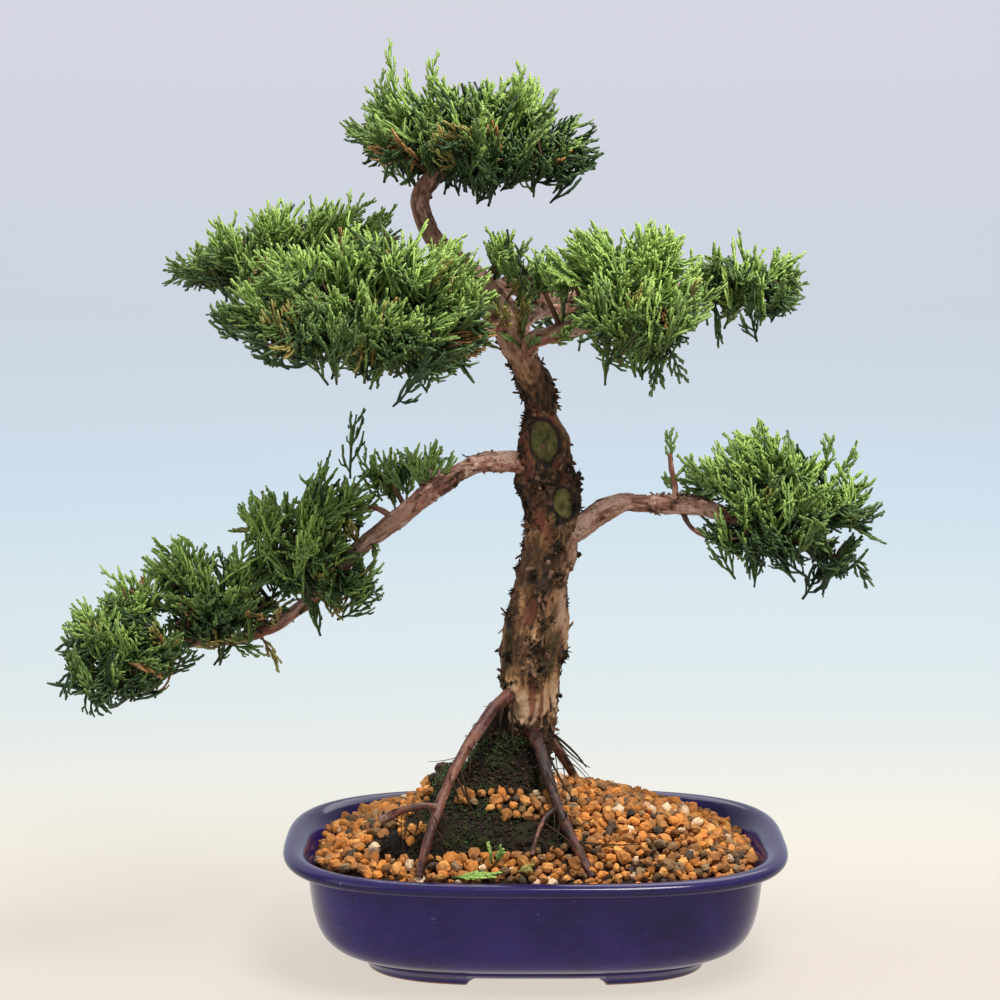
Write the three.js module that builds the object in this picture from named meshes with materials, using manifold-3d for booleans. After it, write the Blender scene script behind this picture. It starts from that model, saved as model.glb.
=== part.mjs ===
// A juniper bonsai in a glazed oval-rectangular pot, in millimetres, +Z up.
// The tree is laid out round the pot's own centre. At the end the whole group is shifted,
// so that the origin is the middle of the object's footprint, on the surface it stands on.
import * as THREE from "three";
import { mergeVertices } from "three/addons/utils/BufferGeometryUtils.js";
import Module from "manifold-3d";

const wasm = await Module();
wasm.setup();

// ---------------------------------------------------------------- driving dimensions

const CLEARANCE = 0.3; // gap left between two pieces that touch

const POT_WIDTH = 210; // over the rim, along X
const POT_DEPTH = 164; // over the rim, along Y
const POT_HEIGHT = 51; // table to the top of the rim
const POT_WALL = 5.6; // thickness of the side wall
const POT_FLOOR = 5.5; // thickness of the floor
const PLAN_POWER = 3.1; // squareness of the plan: 2 is an ellipse, more is squarer
const PLAN_SIDES = 32; // corners in the plan outline

const LIP_OVERHANG = 10.2; // how far the rim stands out past the wall
const LIP_HEIGHT = 6.8; // height of the rolled rim
const FOOT_INSET = 34; // rim's edge to the foot's outer edge
const FOOT_WIDTH = 9; // width of the foot's flat ring
const FOOT_HEIGHT = 6.5;
const FOOT_GAP_HEIGHT = 4; // height of the openings in the foot
const FOOT_GAP_LONG = 54; // width of the opening in each long side
const FOOT_GAP_SHORT = 40; // width of the opening in each short side

const DRAIN_RADIUS = 7;
const DRAIN_SPACING = 74; // between the two drain holes' centres
const SCREEN_SIZE = 24; // side of the square screen over a drain hole
const SCREEN_THICKNESS = 1.2;
const SCREEN_HOLES = 3; // openings along each side of a screen
const SCREEN_BAR = 2; // width of a bar between two openings

const SOIL_AT_WALL = POT_HEIGHT - 13; // height of the soil where it meets the wall
const GRAVEL_AT_WALL = POT_HEIGHT - 6; // height of the gravel where it meets the wall
const HEAP_RISE = 28; // how far the heap's top stands above its edge
const HEAP_POWER = 2; // roundness of the heap: higher is flatter on top

const WOOD_GIRTH = 1; // thickness of trunk, branches and roots against the radii below
const TRUNK_SIDES = 12; // corners round the trunk
const BRANCH_SIDES = 7; // corners round a branch or a root
const TWIG_SIDES = 5;

const TUFT_FULLNESS = 1; // size of every foliage tuft against the sizes below
const TUFT_SIDES = 7; // corners round a foliage tuft
const TUFT_RINGS = 5;

// ---------------------------------------------------------------- solids from three.js geometry

// A three.js geometry as a closed manifold solid.
function solidOf(geometry) {
  const bare = geometry.index ? geometry.toNonIndexed() : geometry.clone();
  bare.deleteAttribute("normal");
  bare.deleteAttribute("uv");
  const merged = mergeVertices(bare, 1e-4);
  return new wasm.Manifold(
    new wasm.Mesh({
      numProp: 3,
      vertProperties: merged.attributes.position.array,
      triVerts: new Uint32Array(merged.index.array),
    }),
  );
}

// A solid back as a three.js geometry.
function geometryOf(solid) {
  const mesh = solid.getMesh();
  return new THREE.BufferGeometry()
    .setAttribute("position", new THREE.BufferAttribute(mesh.vertProperties, 3))
    .setIndex(new THREE.BufferAttribute(mesh.triVerts, 1));
}

// A closed cylinder whose rings are put where place(ring, angle, reach) says.
// reach is 1 on the ring and 0 at the middle of the two end caps.
function ringed(sides, rings, place) {
  const geometry = new THREE.CylinderGeometry(1, 1, 1, sides, rings - 1);
  const at = geometry.attributes.position;
  for (let i = 0; i < at.count; i++) {
    const ring = Math.round((0.5 + at.getY(i)) * (rings - 1));
    const reach = Math.hypot(at.getX(i), at.getZ(i)) < 0.5 ? 0 : 1;
    const side = Math.round((Math.atan2(at.getX(i), at.getZ(i)) / (2 * Math.PI)) * sides);
    const angle = (((side + sides) % sides) / sides) * 2 * Math.PI;
    at.setXYZ(i, ...place(ring, angle, reach));
  }
  return solidOf(geometry);
}

// ---------------------------------------------------------------- the pot's plan

// The plan outline is a superellipse, drawn in from the rim's edge by inset.
function outline(angle, inset, share = 1) {
  const c = Math.cos(angle);
  const s = Math.sin(angle);
  const bend = (v) => Math.sign(v) * Math.abs(v) ** (2 / PLAN_POWER);
  return [
    (POT_WIDTH / 2 - inset) * share * bend(c),
    (POT_DEPTH / 2 - inset) * share * bend(s),
  ];
}

// A solid whose rings are plan outlines, each { inset, z, share }.
function loft(levels) {
  return ringed(PLAN_SIDES, levels.length, (ring, angle, reach) => {
    const { inset, z, share = 1 } = levels[ring];
    const [x, y] = outline(angle, inset, share * reach);
    return [x, y, z];
  });
}

const LIP_BOTTOM = POT_HEIGHT - LIP_HEIGHT;
const INNER_FLOOR = FOOT_HEIGHT - 1 + POT_FLOOR;
const SHOULDER = LIP_OVERHANG + POT_WALL; // inset of the inner wall near its top

// The wall's outside below the lip, foot first: a foot band, a shadow groove and a full belly.
const OUTER_WALL = [
  { inset: FOOT_INSET, z: 0 },
  { inset: FOOT_INSET - 5.6, z: FOOT_HEIGHT - 0.4 },
  { inset: FOOT_INSET - 5.2, z: FOOT_HEIGHT + 0.6 },
  { inset: LIP_OVERHANG + 13.4, z: FOOT_HEIGHT + 2.2 },
  { inset: LIP_OVERHANG + 8.2, z: FOOT_HEIGHT + 5.5 },
  { inset: LIP_OVERHANG + 4.4, z: FOOT_HEIGHT + 11 },
  { inset: LIP_OVERHANG + 1.9, z: FOOT_HEIGHT + 19 },
  { inset: LIP_OVERHANG + 0.5, z: FOOT_HEIGHT + 28 },
  { inset: LIP_OVERHANG, z: LIP_BOTTOM - 0.6 },
];

// The rolled rim, from under its overhang over the top to the inner edge.
const LIP = [
  { inset: LIP_OVERHANG - 2.2, z: LIP_BOTTOM + 0.4 },
  { inset: 2.6, z: LIP_BOTTOM + 1.4 },
  { inset: 0.5, z: LIP_BOTTOM + 3 },
  { inset: 0, z: LIP_BOTTOM + 4.8 },
  { inset: 1.2, z: POT_HEIGHT - 0.7 },
  { inset: 3.6, z: POT_HEIGHT },
  { inset: 6.8, z: POT_HEIGHT - 0.8 },
];

// The inside of the wall, top first, down to the floor.
const INNER_WALL = [
  { inset: LIP_OVERHANG + 0.6, z: POT_HEIGHT - 3.6 },
  { inset: SHOULDER - 2.2, z: POT_HEIGHT - 9 },
  { inset: SHOULDER, z: SOIL_AT_WALL - 3 },
  { inset: SHOULDER + 1.2, z: INNER_FLOOR + 14 },
  { inset: SHOULDER + 4.4, z: INNER_FLOOR + 6 },
  { inset: SHOULDER + 9, z: INNER_FLOOR + 1.6 },
  { inset: SHOULDER + 14, z: INNER_FLOOR },
];

// How far the inner wall is inset at height z.
function wallInset(z) {
  for (let i = 1; i < INNER_WALL.length; i++) {
    const upper = INNER_WALL[i - 1];
    const lower = INNER_WALL[i];
    if (z >= lower.z) {
      const t = Math.min(1, (z - lower.z) / (upper.z - lower.z));
      return lower.inset + t * (upper.inset - lower.inset);
    }
  }
  return INNER_WALL.at(-1).inset;
}

function block(width, depth, height, x, y, z) {
  const geometry = new THREE.BoxGeometry(width, depth, height);
  return solidOf(geometry.translate(x, y, z + height / 2));
}

function upright(radius, height, x, y, z, sides = 24) {
  const geometry = new THREE.CylinderGeometry(radius, radius, height, sides);
  return solidOf(geometry.rotateX(Math.PI / 2).translate(x, y, z + height / 2));
}

// One baked piece: walls, rolled rim, floor with two drain holes, and a foot with four openings.
function potShape() {
  const underside = [
    { inset: FOOT_INSET + FOOT_WIDTH + 1, z: INNER_FLOOR - POT_FLOOR },
    { inset: FOOT_INSET + FOOT_WIDTH, z: 0 },
  ];
  let pot = loft([...underside, ...OUTER_WALL, ...LIP, ...INNER_WALL]);
  const across = POT_WIDTH;
  pot = pot.subtract(block(FOOT_GAP_LONG, across, FOOT_GAP_HEIGHT + 1, 0, 0, -1));
  pot = pot.subtract(block(across, FOOT_GAP_SHORT, FOOT_GAP_HEIGHT + 1, 0, 0, -1));
  for (const side of [-1, 1]) {
    const x = (side * DRAIN_SPACING) / 2;
    pot = pot.subtract(upright(DRAIN_RADIUS, POT_FLOOR * 3, x, 0, 1));
  }
  return pot;
}

// The space inside the pot's wall, carried on straight up above the rim.
function basinShape() {
  const walls = [...INNER_WALL].reverse();
  const sides = walls.map(({ inset, z }) => ({ inset: inset + CLEARANCE, z: z + CLEARANCE }));
  return loft([...sides, { inset: sides.at(-1).inset, z: 3 * POT_HEIGHT }]);
}

// A square plastic screen that lies on the floor over a drain hole.
function screenShape(side, grow = 0) {
  const x = (side * DRAIN_SPACING) / 2;
  const z = INNER_FLOOR + CLEARANCE;
  const width = SCREEN_SIZE + 2 * grow;
  const plate = block(width, width, SCREEN_THICKNESS + 2 * grow, x, 0, z - grow);
  if (grow) return plate;
  const pitch = (SCREEN_SIZE - SCREEN_BAR) / SCREEN_HOLES;
  const open = pitch - SCREEN_BAR;
  const middle = (SCREEN_HOLES - 1) / 2;
  let screen = plate;
  for (let i = 0; i < SCREEN_HOLES; i++) {
    for (let j = 0; j < SCREEN_HOLES; j++) {
      const hole = block(open, open, SCREEN_THICKNESS * 3, x + (i - middle) * pitch,
        (j - middle) * pitch, z - SCREEN_THICKNESS);
      screen = screen.subtract(hole);
    }
  }
  return screen;
}

// ---------------------------------------------------------------- soil and gravel

const HEAP_SHARES = [1, 0.84, 0.6, 0.34, 0.12]; // rings from the wall to the middle

// Height of a heap that meets the wall at edge, a share of the way out from the middle.
function heapHeight(edge, share) {
  return edge + HEAP_RISE * (1 - share ** HEAP_POWER);
}

function heapRings(edge, inset, lift = 0) {
  return HEAP_SHARES.map((share) => ({ inset, share, z: heapHeight(edge, share) + lift }));
}

// Soil fills the pot to just under the gravel and is heaped up towards the trunk.
function soilShape(grow = 0) {
  const gap = CLEARANCE - grow;
  const walls = INNER_WALL.filter(({ z }) => z < SOIL_AT_WALL).reverse();
  const sides = walls.map(({ inset, z }) => ({ inset: inset + gap, z: z + gap }));
  const top = heapRings(SOIL_AT_WALL, wallInset(SOIL_AT_WALL) + gap, grow);
  return loft([...sides, ...top]);
}

// The topping is a layer of gravel over the soil, to just under the rim.
function gravelShape() {
  const under = heapRings(SOIL_AT_WALL + CLEARANCE, wallInset(SOIL_AT_WALL) + CLEARANCE);
  const over = heapRings(GRAVEL_AT_WALL, wallInset(GRAVEL_AT_WALL) + CLEARANCE);
  const sides = INNER_WALL.filter(({ z }) => z > SOIL_AT_WALL + 1 && z < GRAVEL_AT_WALL - 1)
    .map(({ inset, z }) => ({ inset: inset + CLEARANCE, z }));
  return loft([...under.reverse(), ...sides.reverse(), ...over]);
}

// The root mound is the clod of old soil, fine roots and moss that the trunk stands on.
// Each level is height above the rim, half width, half depth and the centre's x and y.
const MOUND_LEVELS = [
  [-7, 46, 41, -13, -14],
  [4, 42, 39, -13, -16],
  [12, 31, 32, -13, -18],
  [20, 21, 24, -12, -15],
  [28, 16.5, 18, -10, -8],
  [38, 15, 14, -8, -3],
];
const MOUND_SIDES = 14;

function moundShape(grow = 0) {
  const last = MOUND_LEVELS.length - 1;
  return ringed(MOUND_SIDES, MOUND_LEVELS.length, (ring, angle, reach) => {
    const [z, width, depth, x, y] = MOUND_LEVELS[ring];
    const lumps = 1 + 0.06 * Math.sin(3 * angle + ring) + 0.04 * Math.cos(5 * angle - ring);
    return [
      x + reach * (width * lumps + grow) * Math.cos(angle),
      y + reach * (depth * lumps + grow) * Math.sin(angle),
      POT_HEIGHT + z + (ring === last ? grow : 0),
    ];
  });
}

// ---------------------------------------------------------------- wood

// The tree rides on the pot: its heights are measured from the top of the rim.

// A tapering limb along a smooth curve. Each point is [x, y, z, radius].
// grow makes it thicker and longer all over, which is how a neighbour gives way to it.
function limb(points, { grow = 0, sides = BRANCH_SIDES, rings = points.length + 3 } = {}) {
  const curve = new THREE.CatmullRomCurve3(
    points.map(([x, y, z]) => new THREE.Vector3(x, y, POT_HEIGHT + z)),
  );
  const frames = curve.computeFrenetFrames(rings - 1);
  return ringed(sides, rings, (ring, angle, reach) => {
    const along = curve.getUtoTmapping(ring / (rings - 1)) * (points.length - 1);
    const low = Math.min(Math.floor(along), points.length - 2);
    const drawn = THREE.MathUtils.lerp(points[low][3], points[low + 1][3], along - low);
    const radius = drawn * WOOD_GIRTH + grow;
    const end = ring === 0 ? -grow : ring === rings - 1 ? grow : 0;
    const centre = curve.getPointAt(ring / (rings - 1));
    centre.addScaledVector(frames.tangents[ring], end);
    centre.addScaledVector(frames.normals[ring], reach * radius * Math.cos(angle));
    centre.addScaledVector(frames.binormals[ring], reach * radius * Math.sin(angle));
    return [centre.x, centre.y, centre.z];
  });
}

// The trunk rises from the mound, leans right, then turns left as a thin leader to the crown.
const TRUNK = [
  [-10.7, 2, 20, 14.2],
  [-8.5, 2, 33, 12.5],
  [-4.5, 1, 44, 10.8],
  [-3.4, 0, 54, 10.8],
  [-3.2, 0, 65, 11.8],
  [-2.7, 0, 76, 12.7],
  [-1.2, 0, 86, 12.9],
  [0.8, 0, 95, 11.9],
  [2.6, 0, 104, 11.3],
  [4.4, 0, 114, 11.5],
  [6.6, 0, 124, 11.8],
  [7.2, 0, 134, 11.8],
  [5.6, -1, 146, 12.4],
  [3.6, -2, 158, 11.3],
  [2.6, -2.5, 168, 10.8],
  [1.7, -3, 178, 7.7],
  [1, -4, 185, 7],
  [-0.8, -4.5, 191, 7.1],
  [-3.8, -5, 197, 6.6],
  [-9, -6, 208, 6.3],
  [-14, -7, 220, 6],
  [-20, -8, 229, 5.4],
  [-30, -9, 239, 4.6],
  [-41, -10, 249, 4],
  [-46, -10, 259, 3.8],
  [-47, -9, 267, 3.9],
  [-42, -7, 274, 3.9],
  [-35.5, -4, 279, 3.4],
  [-27, -2, 283, 2.6],
];

// Branches start inside the trunk and give way to it.
const BRANCHES = {
  branch_low_left: [
    [4, 0, 154, 5], [-8, -5, 157.5, 4.4], [-19, -9, 158.5, 3.9], [-29, -12, 155.8, 3.6],
    [-39, -14, 149.5, 3.6], [-50, -16, 141.5, 3.7], [-60, -17, 133.5, 3.7], [-73, -17, 124, 3.6],
    [-82, -17, 114, 3.4], [-92, -18, 104, 3.3], [-103, -20, 95, 3.2], [-116, -22, 89, 2.7],
    [-130, -24, 87, 2.1], [-145, -26, 86, 1.7], [-161, -28, 86, 1.4],
  ],
  branch_low_right: [
    [8, 0, 124, 5.6], [20, -4, 132, 5.3], [28, -8, 138.5, 4.8], [36, -11, 142, 4.3],
    [47, -14, 141.8, 3.6], [59, -16, 142, 3.5], [69, -18, 141.5, 3.6], [83, -19, 135.5, 2.7],
    [99, -19, 136, 2.1], [112, -18, 139, 1.6],
  ],
  branch_right_front: [
    [-5, -6, 201, 4], [-1, -14, 209, 3.7], [6, -22, 211.5, 3.5], [16, -28, 215, 3],
    [26, -33, 217.5, 2.5], [37, -36, 219.5, 2], [50, -38, 222, 1.6],
  ],
  branch_right_back: [
    [-19, -8, 229, 4], [-12, 0, 229.5, 3.7], [-6, 9, 228, 3.6], [3, 16, 224.5, 3.3],
    [17, 20, 225.5, 2.7], [36, 22, 226, 2.3], [56, 22, 227.5, 2], [77, 22, 229.5, 1.7],
    [93, 22, 232, 1.4],
  ],
  branch_left_front: [
    [-12, -7, 217, 4], [-21, -20, 213, 3.5], [-33, -32, 211.5, 3.1], [-43, -42, 212.5, 2.7],
    [-57, -48, 214, 2.3], [-74, -51, 217.5, 1.9], [-92, -52, 220.5, 1.5],
  ],
  branch_left_back: [
    [-24, -8, 233, 3.8], [-31, 6, 231, 3.3], [-42, 19, 231.5, 2.9], [-58, 30, 233, 2.6],
    [-79, 36, 235, 2.2], [-103, 38, 237.5, 1.8], [-124, 38, 240, 1.4],
  ],
  branch_rear: [
    [-8, -5, 209, 4], [-5, 12, 214.5, 3.4], [1, 28, 217, 3], [12, 42, 218, 2.4],
    [24, 52, 220, 1.7],
  ],
};

// Bare twigs that no longer carry much leaf.
const TWIGS = {
  twig_right_upright: [
    [56, -16, 143, 1.5], [56.5, -17, 149, 1.3], [55, -18, 156, 1.1], [54, -18, 163, 0.9],
  ],
  twig_right_hanging: [
    [59, -17, 140, 1.4], [63, -19, 133, 1.1], [70, -20, 129, 0.9], [77, -21, 127, 0.8],
  ],
  twig_left_dead: [
    [-58, -16, 136.5, 1.4], [-66, -13, 140, 1.1], [-74, -11, 138, 0.9], [-79, -10, 132, 0.8],
  ],
};

// Exposed roots: struts from the trunk's foot down into the gravel.
const ROOTS = {
  root_left: [
    [-4, -4, 64, 3.4], [-11, -10, 61, 2.8], [-17.5, -15, 56.5, 2.5], [-24.5, -24, 48.5, 2.35],
    [-31.5, -32, 38.5, 2.2], [-37, -41, 28.5, 2.05], [-40.5, -49, 20, 1.95], [-44, -58, 11, 1.8],
    [-47, -64, -1, 1.7],
  ],
  root_left_side: [
    [-39, -46, 23, 1.5], [-45, -50, 24.5, 1.55], [-53, -52, 23.5, 1.6], [-58.5, -52, 21, 1.8],
    [-63, -52, 19, 1.9],
  ],
  root_right: [
    [-3, -4, 47, 3.2], [1, -17, 42, 2.6], [4.5, -28, 32, 2.4], [8, -37, 23, 2.15],
    [12, -47, 15, 2], [16.5, -56, 8, 1.9], [22, -64, -1, 1.7],
  ],
  root_right_side: [
    [8.5, -39, 21, 1.6], [4, -45, 19, 1.2], [0.5, -51, 14, 1], [-2, -57, 6, 0.9],
  ],
  root_rear: [
    [2, 3, 43, 3.4], [9, 9, 35, 2.4], [14, 14, 26, 2], [20, 20, 15, 1.7],
  ],
};

// ---------------------------------------------------------------- foliage

// Each pad of foliage is a cloud of tufts. A tuft is [x, y, height, half width, half height].
const PADS = {
  foliage_crown: [
    [-66, 0, 293, 16, 11], [-52, 8, 308, 18, 14], [-29, -4, 311, 20, 13], [-7, 8, 307, 18, 13],
    [10, -4, 295, 15, 12], [-56, -18, 287, 17, 10], [-28, -24, 287, 20, 12],
    [3, -18, 285, 17, 11], [-42, 24, 294, 19, 12], [-10, 26, 292, 18, 12],
  ],
  foliage_left_front: [
    [-112, -50, 224, 15, 11], [-91, -44, 237, 18, 13], [-66, -42, 242, 20, 13],
    [-42, -44, 238, 19, 14], [-93, -62, 216, 20, 11], [-66, -66, 216, 22, 13],
    [-40, -60, 214, 20, 13], [-60, -28, 222, 20, 11],
  ],
  foliage_left_back: [
    [-142, 38, 236, 15, 10], [-123, 32, 245, 17, 12], [-100, 36, 252, 19, 13],
    [-77, 36, 250, 18, 13], [-127, 52, 233, 17, 10], [-98, 56, 236, 19, 11],
    [-104, 20, 233, 19, 10],
  ],
  foliage_right_front: [
    [14, -34, 240, 13, 13], [26, -28, 242, 14, 13], [43, -34, 243, 17, 13],
    [29, -46, 222, 16, 13], [49, -44, 223, 18, 14], [43, -36, 208, 17, 10],
    [58, -26, 231, 12, 11],
  ],
  foliage_right_back: [
    [83, 20, 238, 14, 12], [99, 24, 235, 13, 10], [81, 28, 225, 14, 10], [95, 14, 224, 13, 9],
  ],
  foliage_rear: [
    [20, 48, 226, 16, 10], [36, 56, 224, 14, 9], [8, 60, 223, 14, 9], [24, 66, 219, 14, 8],
  ],
  foliage_low_right: [
    [73, -18, 153, 14, 11], [90, -10, 160, 17, 13], [106, -16, 152, 15, 12],
    [124, -18, 142, 14, 13], [84, -26, 135, 17, 14], [104, -26, 133, 16, 13],
    [122, -18, 122, 11, 10],
  ],
  foliage_low_left_tip: [
    [-182, -26, 89, 14, 13], [-165, -22, 103, 14, 13], [-180, -34, 74, 15, 11],
    [-163, -34, 79, 15, 13],
  ],
  foliage_low_left_middle: [
    [-145, -20, 116, 14, 13], [-129, -26, 104, 15, 13], [-116, -18, 116, 13, 12],
  ],
  foliage_low_left_upper: [
    [-109, -18, 136, 13, 11], [-95, -22, 128, 18, 15], [-83, -12, 143, 16, 13],
    [-80, -20, 113, 16, 12],
  ],
  foliage_low_left_inner: [[-63, 6, 153, 12, 8], [-48, 8, 157, 10, 7]],
  foliage_centre: [[-13, -20, 245, 9, 8], [-1, -30, 238, 10, 7]],
};

function padShape(pad, grow = 0) {
  const tufts = pad.map(([x, y, z, width, height], index) => {
    const geometry = new THREE.SphereGeometry(1, TUFT_SIDES, TUFT_RINGS);
    const wide = width * TUFT_FULLNESS + grow;
    geometry.rotateX(Math.PI / 2).rotateZ(index);
    geometry.scale(wide, wide, height * TUFT_FULLNESS + grow);
    return solidOf(geometry.translate(x, y, POT_HEIGHT + z));
  });
  return tufts.reduce((all, tuft) => all.add(tuft));
}

// ---------------------------------------------------------------- assembly

const FINISH = {
  glaze: { color: 0x1c1a52, roughness: 0.12, metalness: 0 },
  screen: { color: 0x1d1f1e, roughness: 0.6, metalness: 0 },
  soil: { color: 0x3a2a1c, roughness: 0.95, metalness: 0 },
  gravel: { color: 0xb07a45, roughness: 0.85, metalness: 0 },
  moss: { color: 0x2a2a16, roughness: 0.95, metalness: 0 },
  bark: { color: 0x8a6049, roughness: 0.85, metalness: 0 },
  root: { color: 0x6d4038, roughness: 0.6, metalness: 0 },
  leaf: { color: 0x356b34, roughness: 0.6, metalness: 0 },
};

const bonsai = new THREE.Group();

// Adds a solid as a named mesh, cut back from the neighbours that it gives way to.
// Where a neighbour passes near the surface it can leave a loose chip: the largest body is kept.
function add(name, finish, solid, neighbours = []) {
  const cut = neighbours.reduce((left, other) => left.subtract(other), solid);
  const body = cut.decompose().reduce((a, b) => (a.volume() > b.volume() ? a : b));
  const mesh = new THREE.Mesh(geometryOf(body), new THREE.MeshStandardMaterial(FINISH[finish]));
  mesh.name = name;
  bonsai.add(mesh);
}

const room = { grow: CLEARANCE };
const TRUNK_FORM = { sides: TRUNK_SIDES, rings: 30 };
const trunkRoom = limb(TRUNK, { ...TRUNK_FORM, ...room });
const roomOf = (limbs) => Object.values(limbs).map((points) => limb(points, room));
const rootRooms = roomOf(ROOTS);

add("pot", "glaze", potShape());
add("drain_screen_left", "screen", screenShape(-1));
add("drain_screen_right", "screen", screenShape(1));
add("soil", "soil", soilShape(), [trunkRoom, screenShape(-1, CLEARANCE), screenShape(1, CLEARANCE)]);
const basin = basinShape();
const mound = moundShape().intersect(basin);
add("root_mound", "moss", mound, [soilShape(CLEARANCE), trunkRoom, ...rootRooms]);
add("gravel_topping", "gravel", gravelShape(), [moundShape(CLEARANCE), trunkRoom, ...rootRooms]);
add("trunk", "bark", limb(TRUNK, TRUNK_FORM));

// A side root gives way to the root that it grows from.
for (const [name, points] of Object.entries(ROOTS)) {
  const parent = name.endsWith("_side") ? limb(ROOTS[name.replace("_side", "")], room) : trunkRoom;
  add(name, "root", limb(points).intersect(basin), [parent, soilShape(CLEARANCE)]);
}
for (const [name, points] of Object.entries(BRANCHES)) {
  add(name, "bark", limb(points), [trunkRoom]);
}
const branchRooms = roomOf(BRANCHES);
for (const [name, points] of Object.entries(TWIGS)) {
  add(name, "bark", limb(points, { sides: TWIG_SIDES }), branchRooms);
}

// Pads give way to the wood that runs through them, and to the pads before them.
const wood = [trunkRoom, ...branchRooms, ...roomOf(TWIGS)];
const earlier = [];
for (const [name, pad] of Object.entries(PADS)) {
  add(name, "leaf", padShape(pad), [...wood, ...earlier]);
  earlier.push(padShape(pad, CLEARANCE));
}

// The origin goes to the middle of the footprint, on the surface under the foot.
const box = new THREE.Box3().setFromObject(bonsai);
const middle = box.getCenter(new THREE.Vector3());
bonsai.position.set(-middle.x, -middle.y, -box.min.z);

export default bonsai;
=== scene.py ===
# %% [markdown]
# # A juniper bonsai in a blue-glazed pot
#
# The tree is an informal upright juniper: a trunk with peeling bark, a thin leader that turns
# left, pads of cord-like foliage, and bare roots that straddle a clod of old soil. It grows in
# a shallow glazed pot with a gravel topping. Nearly everything here is a surface worked out
# with numpy: a grid of points is a function of two numbers, and whole arrays go into a mesh.

# %% Load the frame
import math

import bpy
import numpy as np
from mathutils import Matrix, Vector


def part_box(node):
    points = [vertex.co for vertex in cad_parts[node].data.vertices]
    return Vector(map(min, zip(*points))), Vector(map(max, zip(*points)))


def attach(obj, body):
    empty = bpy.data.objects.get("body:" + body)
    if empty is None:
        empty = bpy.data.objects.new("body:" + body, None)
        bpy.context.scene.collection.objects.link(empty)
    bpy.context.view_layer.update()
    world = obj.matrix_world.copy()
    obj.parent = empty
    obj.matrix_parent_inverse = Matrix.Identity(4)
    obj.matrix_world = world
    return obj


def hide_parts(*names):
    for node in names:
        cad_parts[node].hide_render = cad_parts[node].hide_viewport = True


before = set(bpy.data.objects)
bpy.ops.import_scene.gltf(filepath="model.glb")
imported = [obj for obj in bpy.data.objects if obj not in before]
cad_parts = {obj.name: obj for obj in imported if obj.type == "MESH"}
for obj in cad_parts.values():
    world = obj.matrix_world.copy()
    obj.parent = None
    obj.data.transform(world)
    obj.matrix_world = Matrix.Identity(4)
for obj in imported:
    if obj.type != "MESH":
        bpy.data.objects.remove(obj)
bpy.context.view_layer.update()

# %% [markdown]
# ## One set of coordinates
#
# Shapes are drawn in millimetres from the pot's own middle, with heights from the top of its
# rim, because that is how a potter and a grower would measure them. One offset, read from the
# pot in the frame, carries every finished point to its place.

# %% Where the pot stands
MM = 0.001
POT_LOW, POT_HIGH = (np.array(corner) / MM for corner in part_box("pot"))
POT_SIZE = POT_HIGH - POT_LOW
RIM_ORIGIN = np.array([*(POT_LOW + POT_HIGH)[:2] / 2, POT_HIGH[2]])
TABLE = -POT_SIZE[2]
print("pot", POT_SIZE.round(1), "rim origin", RIM_ORIGIN.round(1))

# %% [markdown]
# ## The camera
#
# A long lens about 1.1 m away looks slightly down on the tree, so the pot's rim is an ellipse
# and the trunk hides part of the back branches.

# %% Camera
CAMERA_FROM_POT = (-14.8, -1112.4, 292.0)
CAMERA_PITCH = math.radians(7.7)
SENSOR = 36.0
FOCAL_SHARE = 2.714  # focal length over sensor width

camera_data = bpy.data.cameras.new("camera")
camera_data.sensor_width = SENSOR
camera_data.lens = SENSOR * FOCAL_SHARE
camera = bpy.data.objects.new("camera", camera_data)
camera.location = (RIM_ORIGIN + CAMERA_FROM_POT) * MM
camera.rotation_euler = (math.pi / 2 - CAMERA_PITCH, 0, 0)
bpy.context.collection.objects.link(camera)
bpy.context.scene.camera = camera
print("camera at", [round(c, 3) for c in camera.location])

# %% [markdown]
# ## From arrays to a mesh
#
# A mesh needs points, faces and, for a pattern that follows the surface, a flat map. Setting
# them one by one in Python is slow, so `foreach_set` takes the whole arrays at once. The map is
# called OFBake, and any number that a material needs at a point is stored as an attribute.


# %% Mesh helper
def make_piece(name, points, faces, material, replaces=(), uv=None, marks=None,
               smooth=True):
    """Makes one piece that rides on the root body.

    points is rows of x, y, z in mm from the rim origin. faces is a list of arrays of corner
    numbers, one array for each number of corners. uv has a row for each face corner, in the
    order of faces. marks is a dict of one value for each point.
    """
    mesh = bpy.data.meshes.new(name)
    corners = np.concatenate([block.ravel() for block in faces]).astype(np.int32)
    counts = np.concatenate([np.full(len(block), block.shape[1]) for block in faces])
    starts = np.concatenate([[0], np.cumsum(counts)[:-1]]).astype(np.int32)
    mesh.vertices.add(len(points))
    mesh.vertices.foreach_set("co", ((points + RIM_ORIGIN) * MM).astype(np.float32).ravel())
    mesh.loops.add(len(corners))
    mesh.loops.foreach_set("vertex_index", corners)
    mesh.polygons.add(len(counts))
    mesh.polygons.foreach_set("loop_start", starts)
    mesh.polygons.foreach_set("use_smooth", np.full(len(counts), smooth))
    mesh.update(calc_edges=True)
    if uv is not None:
        layer = mesh.uv_layers.new(name="OFBake")
        layer.data.foreach_set("uv", uv.astype(np.float32).ravel())
    for mark, values in (marks or {}).items():
        attribute = mesh.attributes.new(mark, "FLOAT", "POINT")
        attribute.data.foreach_set("value", values.astype(np.float32).ravel())
    mesh.validate()
    mesh.materials.append(material)
    piece = bpy.data.objects.new(name, mesh)
    bpy.context.collection.objects.link(piece)
    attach(piece, "root")
    if replaces:
        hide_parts(*replaces)
    print(name, len(points), "points,", len(counts), "faces")
    return piece


# %% Grid helpers
def full_turn(count):
    """count angles evenly spaced round a full turn, from 0."""
    return np.arange(count) / count * 2 * math.pi


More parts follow.
